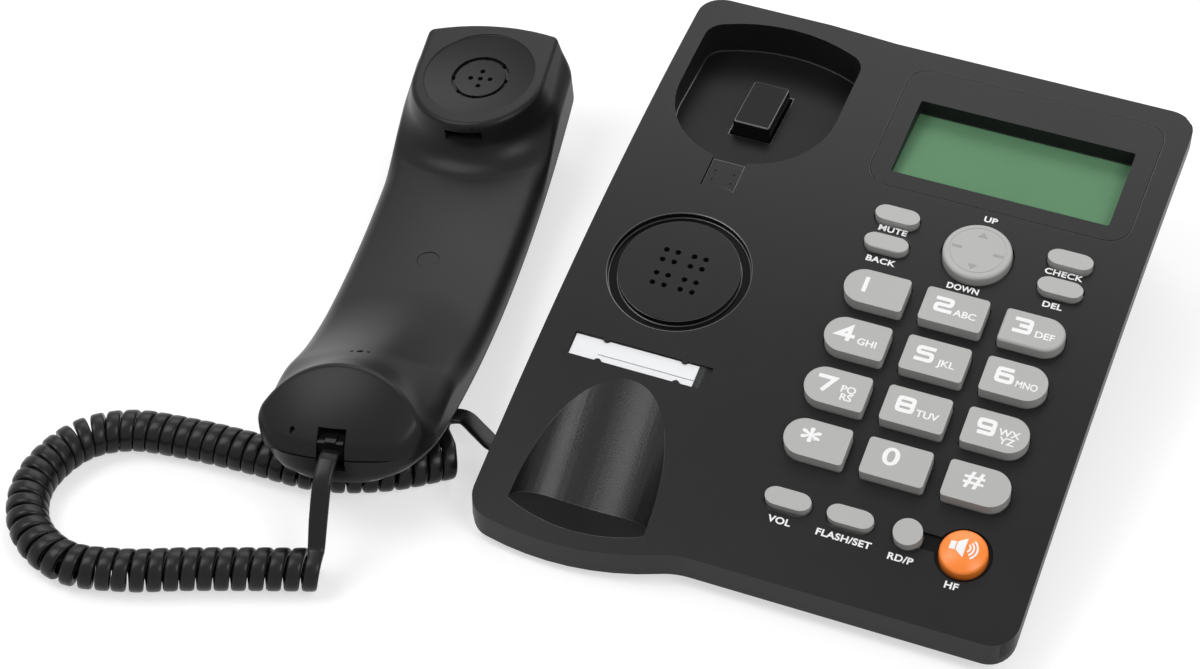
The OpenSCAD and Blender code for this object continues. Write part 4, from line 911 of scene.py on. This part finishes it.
def shell_mesh(name, gap, up, lift, turns, arc, steps):
    """A closed solid on one side of the seam: rays from a line along the seam find where gap is zero.

    The rays fan out at both ends in turns. Between the ends they stand in rows, spaced as steps say.
    """
    stations = [(SPINE[0], math.radians(90 * (1 - i / turns))) for i in range(turns)]
    ends = [y for y, _ in steps[1:]] + [SPINE[1]]
    for (start, step), end in zip(steps, ends):
        stations += [(y, 0.0) for y in np.arange(start, end - 1e-6, step)]
    stations += [(SPINE[1], -math.radians(90 * i / turns)) for i in range(turns + 1)]
    phi = np.linspace(0, math.pi, arc + 1)
    start_y = np.array([s[0] for s in stations])[:, None]
    lean = np.array([s[1] for s in stations])[:, None]
    ray = np.stack([np.broadcast_to(np.cos(phi), (len(stations), arc + 1)),
                    -np.sin(phi) * np.sin(lean), np.sin(phi) * np.cos(lean)], axis=-1)
    low, high = np.zeros(ray.shape[:2]), np.full(ray.shape[:2], RAY_REACH)
    for _ in range(RAY_HALVINGS):
        mid = (low + high) / 2
        x, y, w = mid * ray[..., 0], start_y + mid * ray[..., 1], up * mid * ray[..., 2]
        outside = gap(x, y, w + seam_z(np.clip(y, -SEAM_R / 2, SEAM_R / 2))) > 0
        high = np.where(outside, mid, high)
        low = np.where(outside, low, mid)
    x, y, w = low * ray[..., 0], start_y + low * ray[..., 1], up * np.maximum(low * ray[..., 2], lift)
    points = np.stack([x, y, w + seam_z(y)], axis=-1)
    width = arc + 1
    faces = []
    for i in range(len(stations) - 1):
        for j in range(arc):
            faces.append((i * width + j, (i + 1) * width + j, (i + 1) * width + j + 1, i * width + j + 1))
        faces.append((i * width, i * width + arc, (i + 1) * width + arc, (i + 1) * width))
    for i in (0, len(stations) - 1):
        for j in range(arc // 2):
            corners = (j, j + 1, arc - j - 1, arc - j)
            faces.append([i * width + c for c in dict.fromkeys(corners)])
    obj = mesh_object(name, points.reshape(-1, 3) * MM, faces)
    weld_mesh(obj.data, WELD / 2, outward=True)
    return obj


def tool_disc(bm, place, r, low, high, sides=32):
    bmesh.ops.create_cone(bm, cap_ends=True, segments=sides, radius1=r * MM, radius2=r * MM,
                          depth=(high - low) * MM, matrix=shifted(place, 0, 0, (low + high) / 2))


def tool_box(bm, place, size, low):
    scale = Matrix.Diagonal((*[s * MM for s in size], 1))
    bmesh.ops.create_cube(bm, size=1, matrix=shifted(place, 0, 0, low + size[2] / 2) @ scale)


def cut(obj, build):
    """Cuts out of obj the solids that build adds to a mesh."""
    bm = bmesh.new()
    build(bm)
    mesh = bpy.data.meshes.new("tool")
    bm.to_mesh(mesh)
    bm.free()
    tool = new_object("tool", mesh)
    modifier = obj.modifiers.new("cut", "BOOLEAN")
    modifier.operation = "DIFFERENCE"
    modifier.solver = "EXACT"
    modifier.object = tool
    shown = obj.evaluated_get(bpy.context.evaluated_depsgraph_get())
    result = bpy.data.meshes.new_from_object(shown)
    obj.modifiers.clear()
    obj.data = result
    bpy.data.objects.remove(tool)


def on_ear_face(along, up=0.0):
    front = Matrix.Translation(Vector((0, *EAR_FRONT)) * MM) @ Matrix.Rotation(EAR_TILT, 4, "X")
    return shifted(front, 0, along, up)


def on_mic_face(x, y):
    return Matrix.Translation(Vector((x, y, mic_z(y))) * MM) @ Matrix.Rotation(-MOUTH_SLOPE, 4, "X")


def tool_lathe(bm, place, profile, sides=64):
    """A turned solid: a closed profile of radii and heights, swept round the z axis of place."""
    verts = [[bm.verts.new(place @ (Vector((r * math.cos(a), r * math.sin(a), z)) * MM)) for r, z in profile]
             for a in np.linspace(0, 2 * math.pi, sides, endpoint=False)]
    for i in range(sides):
        here, there = verts[i], verts[(i + 1) % sides]
        for j in range(len(profile)):
            k = (j + 1) % len(profile)
            if profile[j][0] or profile[k][0]:
                bm.faces.new((here[j], there[j], there[k], here[k]))
    bmesh.ops.remove_doubles(bm, verts=bm.verts, dist=1e-7)
    bmesh.ops.recalc_face_normals(bm, faces=bm.faces)


def plug_opening(bm):
    place = Matrix.Translation(Vector((0, PLUG_HOLE_Y, HANDSET_PLUG[2])) * MM)
    tool_box(bm, place, PLUG_HOLE, PLUG_HOLE_LOW)


def ear_ring(bm):
    inner, outer = EAR_RING
    low, high = -EAR_RING_DEEP, CUT_ABOVE
    tool_lathe(bm, on_ear_face(EAR_MID), [(inner, low), (outer, low), (outer, high), (inner, high)])


def ear_dish(bm):
    """The hollow in the ear face, with a crisp rim."""
    hollow = [(r, float(dish_depth(r))) for r in np.linspace(0, DISH_R - DISH_RIM, 12)]
    rim = [(DISH_R, 0.05), (DISH_R, CUT_ABOVE), (0, CUT_ABOVE)]
    tool_lathe(bm, on_ear_face(EAR_MID), hollow + rim, sides=96)


def front_tools(bm):
    """The front shell's other openings: at the ear, at the mouth, over the screw, and a pinhole."""
    face = on_ear_face(EAR_MID)
    pitch = EAR_HOLE_PITCH
    for x, y in ((0, 0), (pitch, 0), (-pitch, 0), (0, pitch), (0, -pitch)):
        tool_disc(bm, shifted(face, x, y), EAR_HOLE_R, -EAR_HOLE_DEEP, CUT_ABOVE, sides=16)
    for i in range(EAR_RING_HOLES):
        turn = Matrix.Rotation(math.radians(360 / EAR_RING_HOLES * i), 4, "Z")
        hole = face @ shifted(turn, sum(EAR_RING) / 2, 0)
        tool_disc(bm, hole, EAR_RING_HOLE_R, -EAR_HOLE_DEEP, CUT_ABOVE, sides=16)
    tool_box(bm, on_ear_face(0, -EAR_SLOT_DOWN), EAR_SLOT, -EAR_SLOT[2] / 2)
    for x, r in MIC_HOLES:
        tool_disc(bm, on_mic_face(MIC_AT[0] + x, MIC_AT[1]), r, low=-3, high=4, sides=16)
    tool_disc(bm, Matrix.Translation((0, SCREW_HOLE_Y * MM, 0)), SCREW_HOLE_R, low=GRIP_UP - 4, high=30)
    pinhole = Matrix.Translation(Vector(PINHOLE_AT) * MM) @ Matrix.Rotation(math.pi / 2, 4, "X")
    tool_disc(bm, pinhole, PINHOLE_R, low=-8, high=12, sides=16)


FORMULA_NEAR = 0.06
FORMULA_TURN = math.radians(50)


def read(items, name, width=1, kind=float):
    """One value of all points, faces or corners of a mesh, as an array."""
    found = np.empty(len(items) * width, kind)
    items.foreach_get(name, found)
    return found.reshape(-1, width) if width > 1 else found


def shade_by_formula(obj, gap):
    """Takes the normals of the surface that gap describes from its own slope, and leaves the others."""
    mesh = obj.data
    points = read(mesh.vertices, "co", 3) / MM
    step = 0.04
    slopes = np.stack([gap(*(points + step * e).T) - gap(*(points - step * e).T) for e in np.eye(3)], axis=1)
    slopes /= np.maximum(np.linalg.norm(slopes, axis=1), 1e-9)[:, None]
    on_surface = np.abs(gap(*points.T)) < FORMULA_NEAR
    corner_vertex = read(mesh.loops, "vertex_index", kind=int)
    sizes = read(mesh.polygons, "loop_total", kind=int)
    flat = np.repeat(read(mesh.polygons, "normal", 3), sizes, axis=0)
    corners = read(mesh.corner_normals, "vector", 3)
    near = np.sum(slopes[corner_vertex] * flat, axis=1) > math.cos(FORMULA_TURN)
    use = on_surface[corner_vertex] & near
    corners[use] = slopes[corner_vertex][use]
    mesh.normals_split_custom_set(corners)


SHELL_CREASE = 38
FINE_ROWS = [(SPINE[0], 0.8), (-44, 1.6), (40, 0.4)]
PLAIN_ROWS = [(SPINE[0], 1.6)]


def add_shell(name, node, gap, up, lift, tools, grid, formulas=()):
    """One half of the handset: a solid by formula, cut by tools, with its normals from formulas."""
    shell = shell_mesh(name, gap, up, lift, *grid)
    for tool in tools:
        cut(shell, tool)
    weld_mesh(shell.data)
    shell.data.shade_smooth()
    shell.data.set_sharp_from_angle(angle=math.radians(SHELL_CREASE))
    for formula in formulas:
        shade_by_formula(shell, formula)
    shell.data.transform(HANDSET)
    give(shell, HANDSET_BLACK, "black_case")
    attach(shell, "handset")
    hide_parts(node)


add_shell("front_shell", "handset_front_shell", front_gap, 1, 0.0, grid=(72, 130, FINE_ROWS),
          tools=(ear_dish, front_tools, plug_opening, ear_ring), formulas=(front_gap, dish_gap))
add_shell("back_shell", "handset_back_shell", back_gap, -1, 0.3, grid=(30, 56, PLAIN_ROWS),
          tools=(plug_opening,))


# Printing: digits, letters and plain words, each a thin closed sheet on its surface

PRINT_THICK = 0.06
PRINT_UP = 0.03
# How high capitals are, as a share of the font's size
CAPITALS = 0.73
DOME_CUTS = 7
DOME_STEP = 0.6


def add_text(name, text, place, height, body, bold=0.02, stretch=1.15, spacing=1.0):
    """Printed text in the plane of place, centred on it, with capitals of the given height in millimetres."""
    curve = bpy.data.curves.new(name, "FONT")
    curve.body = text
    curve.align_x = "CENTER"
    curve.align_y = "CENTER"
    curve.size = height * MM / CAPITALS
    curve.offset = bold * height * MM
    curve.extrude = PRINT_THICK / 2 * MM
    curve.space_line = 0.85
    curve.space_character = spacing
    source = new_object(name + "_source", curve)
    mesh = bpy.data.meshes.new_from_object(source.evaluated_get(bpy.context.evaluated_depsgraph_get()))
    bpy.data.objects.remove(source)
    mesh.transform(place @ Matrix.Diagonal((stretch, 1, 1, 1)))
    obj = new_object(name, mesh)
    give(obj, PRINT, "white_card")
    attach(obj, body)


def add_mark(name, outlines, place, body, material=PRINT, slot="white_card", height=None):
    """Printed shapes: outlines in millimetres in the plane of place, at a height that may follow a dome."""
    bm = bmesh.new()
    for outline in outlines:
        low, high = ([bm.verts.new((x, y, up)) for x, y in outline]
                     for up in (-PRINT_THICK / 2, PRINT_THICK / 2))
        bm.faces.new(low[::-1])
        bm.faces.new(high)
        for i in range(len(outline)):
            j = (i + 1) % len(outline)
            bm.faces.new((low[i], low[j], high[j], high[i]))
    bmesh.ops.recalc_face_normals(bm, faces=bm.faces)
    if height:
        for normal in ((1, 0, 0), (0, 1, 0)):
            for k in range(-DOME_CUTS, DOME_CUTS + 1):
                bmesh.ops.bisect_plane(bm, geom=[*bm.verts, *bm.edges, *bm.faces],
                                       plane_co=Vector(normal) * k * DOME_STEP, plane_no=normal)
        for vert in bm.verts:
            vert.co.z += height(vert.co.x, vert.co.y)
    mesh = bpy.data.meshes.new(name)
    bm.to_mesh(mesh)
    bm.free()
    mesh.transform(place @ Matrix.Scale(MM, 4))
    mark = new_object(name, mesh)
    give(mark, material, slot)
    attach(mark, body)


def bar(x, y, w, h):
    return [(x - w / 2, y - h / 2), (x + w / 2, y - h / 2), (x + w / 2, y + h / 2), (x - w / 2, y + h / 2)]


def rounded(points, r):
    """A line with its inner corners rounded."""
    line = [points[0]]
    for a, b, c in zip(points, points[1:], points[2:]):
        enter = b + (a - b).normalized() * r
        leave = b + (c - b).normalized() * r
        line += [enter, 0.25 * enter + 0.5 * b + 0.25 * leave, leave]
    return [*line, points[-1]]


def stroke(points, thick, r=0.0):
    """The outline of a band of even width along a line."""
    points = [Vector(p) for p in points]
    points = rounded(points, r) if r else points
    sides = [Vector((a.y - b.y, b.x - a.x)).normalized() for a, b in zip(points, points[1:])]
    left, right = [], []
    for i, point in enumerate(points):
        n, m = sides[max(i - 1, 0)], sides[min(i, len(sides) - 1)]
        off = (n + m) / (1 + n.dot(m)) * thick / 2
        left.append(tuple(point + off))
        right.append(tuple(point - off))
    return left + right[::-1]


def wave(x, r, thick, spread, steps=14):
    """Part of a ring round x, open to the left."""
    turns = [math.radians(spread * (2 * i / steps - 1)) for i in range(steps + 1)]
    outer = [(x + (r + thick) * math.cos(a), (r + thick) * math.sin(a)) for a in turns]
    return outer + [(x + r * math.cos(a), r * math.sin(a)) for a in reversed(turns)]


KEY_SIGNS = "123456789*0#"
KEY_LETTERS = {"2": "ABC", "3": "DEF", "4": "GHI", "5": "JKL", "6": "MNO", "7": "PQ\nRS", "8": "TUV",
               "9": "WX\nYZ"}
KEY_TOP = 3.6
DIGIT_H = 5.4
DIGIT_W = 5.6
DIGIT_THICK = 1.25
DIGIT_AT = (-3.2, 0.6)
LETTER_H = 2.3
LETTERS_AT = (3.6, -1.2)
WORD_H = 2.1
SIGNS = {"*": (-1.8, -1.0, 7.4), "0": (-1.9, 0.9, 5.8), "#": (-1.4, 1.2, 5.4)}


def digit_bands(digit):
    """A wide squared digit as the outlines of the bands that it is drawn with."""
    x, y, half = (DIGIT_W - DIGIT_THICK) / 2, (DIGIT_H - DIGIT_THICK) / 2, DIGIT_THICK / 2
    six = [(x, y), (-x, y), (-x, -y), (x, -y), (x, 0.2), (half - x, 0.2)]
    lines = {"1": [[(0, -y - half), (0, y + half)]],
             "2": [[(-x - half, y), (x, y), (x, 0), (-x, 0), (-x, -y), (x + half, -y)]],
             "3": [[(-x - half, y), (x, y), (x, -y), (-x - half, -y)], [(x - half, 0), (-0.5 * x, 0)]],
             "4": [[(0.45 * x, -y - half), (0.45 * x, y), (-x, -0.4 * y), (0.45 * x - half, -0.4 * y)],
                   [(0.45 * x + half, -0.4 * y), (x + half, -0.4 * y)]],
             "5": [[(x + half, y), (-x, y), (-x, 0.2), (x, 0.2), (x, -y), (-x - half, -y)]],
             "6": [six], "7": [[(-x - half, y), (x, y), (-0.3 * x, -y - half)]],
             "8": [[(-x, 0), (-x, y), (x, y), (x, 0)], [(-x, 0), (-x, -y), (x, -y), (x, 0)],
                   [(half - x, 0), (x - half, 0)]],
             "9": [[(-a, -b) for a, b in six]]}
    return [stroke(line, DIGIT_THICK, 0.0 if digit in "147" else 0.7) for line in lines[digit]]


def print_keys():
    for i, (key, digit) in enumerate(zip(DIAL_KEYS, KEY_SIGNS)):
        place = deck(*key_at(i), KEY_TOP + PRINT_UP)
        x, y, size = SIGNS.get(digit, (*DIGIT_AT, DIGIT_H))
        at = shifted(place, x, y)
        if digit in SIGNS:
            add_text(key + "_sign", digit, at, size, key, bold=0.025, stretch=1.3)
        else:
            add_mark(key + "_digit", digit_bands(digit), at, key)
        if digit in KEY_LETTERS:
            letters = KEY_LETTERS[digit]
            add_text(key + "_letters", letters, shifted(place, *LETTERS_AT), LETTER_H, key, bold=0.03,
                     stretch=0.88 if "M" in letters else 1.1)


def print_deck():
    words = {"MUTE": (6.4, 123.0), "BACK": (6.4, 111.0), "UP": (32.7, 136.0), "DOWN": (32.4, 108.8),
             "CHECK": (58.7, 123.0), "DEL": (58.7, 111.0), "VOL": (6.8, 18.6), "FLASH/SET": (25.6, 18.7),
             "RD/P": (42.5, 17.6), "HF": (58.4, 14.0)}
    for word, (x, v) in words.items():
        name = "word_" + word.replace("/", "_").lower()
        stretch = 0.98 if word == "DOWN" else 1.15
        add_text(name, word, deck(x, v, PRINT_UP), WORD_H, "base", bold=0.04, stretch=stretch, spacing=1.06)


HANDSFREE_TOP = 4
HANDSFREE_DOME = 14
ICON_AT = (-0.2, 0.6)
ARROW = [(-1.5, -0.8), (1.5, -0.8), (0, 1.1)]
ARROW_OUT = 6.0
DASH = (3.0, 0.9)
DASH_OUT = 6.3


def handsfree_height(x, y):
    """The drop of the hands-free key's dome below its middle, at a point of its icon."""
    x, y = x + ICON_AT[0], y + ICON_AT[1]
    return math.sqrt(HANDSFREE_DOME ** 2 - x ** 2 - y ** 2) - HANDSFREE_DOME


def print_signs():
    """Arrows and dashes on the navigation disc, and a loudspeaker with its waves on the hands-free key."""
    disc = deck(*NAV_AT, NAV_TOP * NAV_RISE + PRINT_UP)
    for name, turn in (("up", 0), ("down", 180)):
        place = shifted(disc @ Matrix.Rotation(math.radians(turn), 4, "Z"), 0, ARROW_OUT)
        add_mark("navigation_" + name, [ARROW], place, "navigation_key", DARK_PRINT, "grey_key")
    for name, x in (("left", -DASH_OUT), ("right", DASH_OUT)):
        add_mark("navigation_" + name, [bar(x, 0, *DASH)], disc, "navigation_key", DARK_PRINT, "grey_key")
    x, y = ICON_AT
    dome = deck(HANDSFREE_AT[0] + x, HANDSFREE_AT[1] + y, HANDSFREE_TOP + 2 * PRINT_UP)
    cone = [(-1.9, -1.3), (0.6, -3.1), (0.6, 3.1), (-1.9, 1.3)]
    waves = [wave(0.6, r, 0.55, 55) for r in (1.1, 2.1, 3.1)]
    icon = [bar(-3.05, 0, 1.7, 2.6), cone, *waves]
    add_mark("speaker_icon", icon, dome, "handsfree_key", height=handsfree_height)


def print_label():
    """One thin ruled line on the blank label card."""
    card = deck(*LABEL_AT, CARD_TOP - CARD_CLEAR + PRINT_UP)
    add_mark("label_line", [bar(2.4, -1.5, 30, 0.22)], card, "base", DARK_PRINT, "grey_key")


print_keys()
print_deck()
print_signs()
print_label()


# Floor and light

FLOOR_SIDE = 4.0
FLOOR_GLOW = 0.58
WORLD_LIGHT = 0.35
# Each lamp's name, place, aim, size and power, in metres and watts
LAMPS = [("rear_softbox", (-0.25, 1.0, 1.1), (-0.05, 0, 0.02), (1.4, 0.8), 9.2),
         ("left_softbox", (-0.68, -0.32, 1.1), (-0.1, 0, 0.02), (0.6, 0.75), 7.2),
         ("right_softbox", (0.72, -0.5, 1.0), (0, 0, 0.02), (0.5, 0.6), 6)]


def seen_directly(tree):
    """1 for rays from the camera, and for those that metal and glass send on."""
    path = add_node(tree, "LightPath", {})
    total = path.outputs["Is Camera Ray"]
    for name in ("Is Glossy Ray", "Is Transmission Ray"):
        add = add_node(tree, "Math", {})
        add.operation = "ADD"
        add.use_clamp = True
        tree.links.new(total, add.inputs[0])
        tree.links.new(path.outputs[name], add.inputs[1])
        total = add.outputs["Value"]
    return total


def add_floor():
    """A pale floor that looks white where it is lit and keeps the object's soft shadow."""
    corners = [(x * FLOOR_SIDE, y * FLOOR_SIDE, 0) for x, y in ((-1, -1), (1, -1), (1, 1), (-1, 1))]
    floor = mesh_object("floor", corners, [(0, 1, 2, 3)])
    look = {"Base Color": (0.5, 0.5, 0.5, 1), "Roughness": 0.9, "Specular IOR Level": 0,
            "Emission Color": (1, 1, 1, 1)}
    material, tree, shader = new_material("pale_floor", look)
    glow = add_node(tree, "Math", {1: FLOOR_GLOW})
    glow.operation = "MULTIPLY"
    tree.links.new(seen_directly(tree), glow.inputs[0])
    tree.links.new(glow.outputs["Value"], shader.inputs["Emission Strength"])
    floor.data.materials.append(material)


def add_lamp(name, place, aim, size, power):
    lamp = bpy.data.lights.new(name, "AREA")
    lamp.shape = "RECTANGLE"
    lamp.size, lamp.size_y = size
    lamp.energy = power
    obj = new_object(name, lamp)
    obj.location = place
    obj.rotation_euler = (Vector(aim) - Vector(place)).to_track_quat("-Z", "Y").to_euler()


def add_world():
    """A plain grey surround that is white where it is seen directly."""
    world = bpy.data.worlds.new("studio")
    bpy.context.scene.world = world
    world.use_nodes = True
    tree = world.node_tree
    strength = add_range(tree, seen_directly(tree), WORLD_LIGHT, 1.0)
    surround = set_inputs(tree.nodes["Background"], {"Color": (1, 1, 1, 1)})
    tree.links.new(strength, surround.inputs["Strength"])


add_floor()
add_world()
for lamp in LAMPS:
    add_lamp(*lamp)

bpy.context.scene.view_settings.view_transform = "Standard"
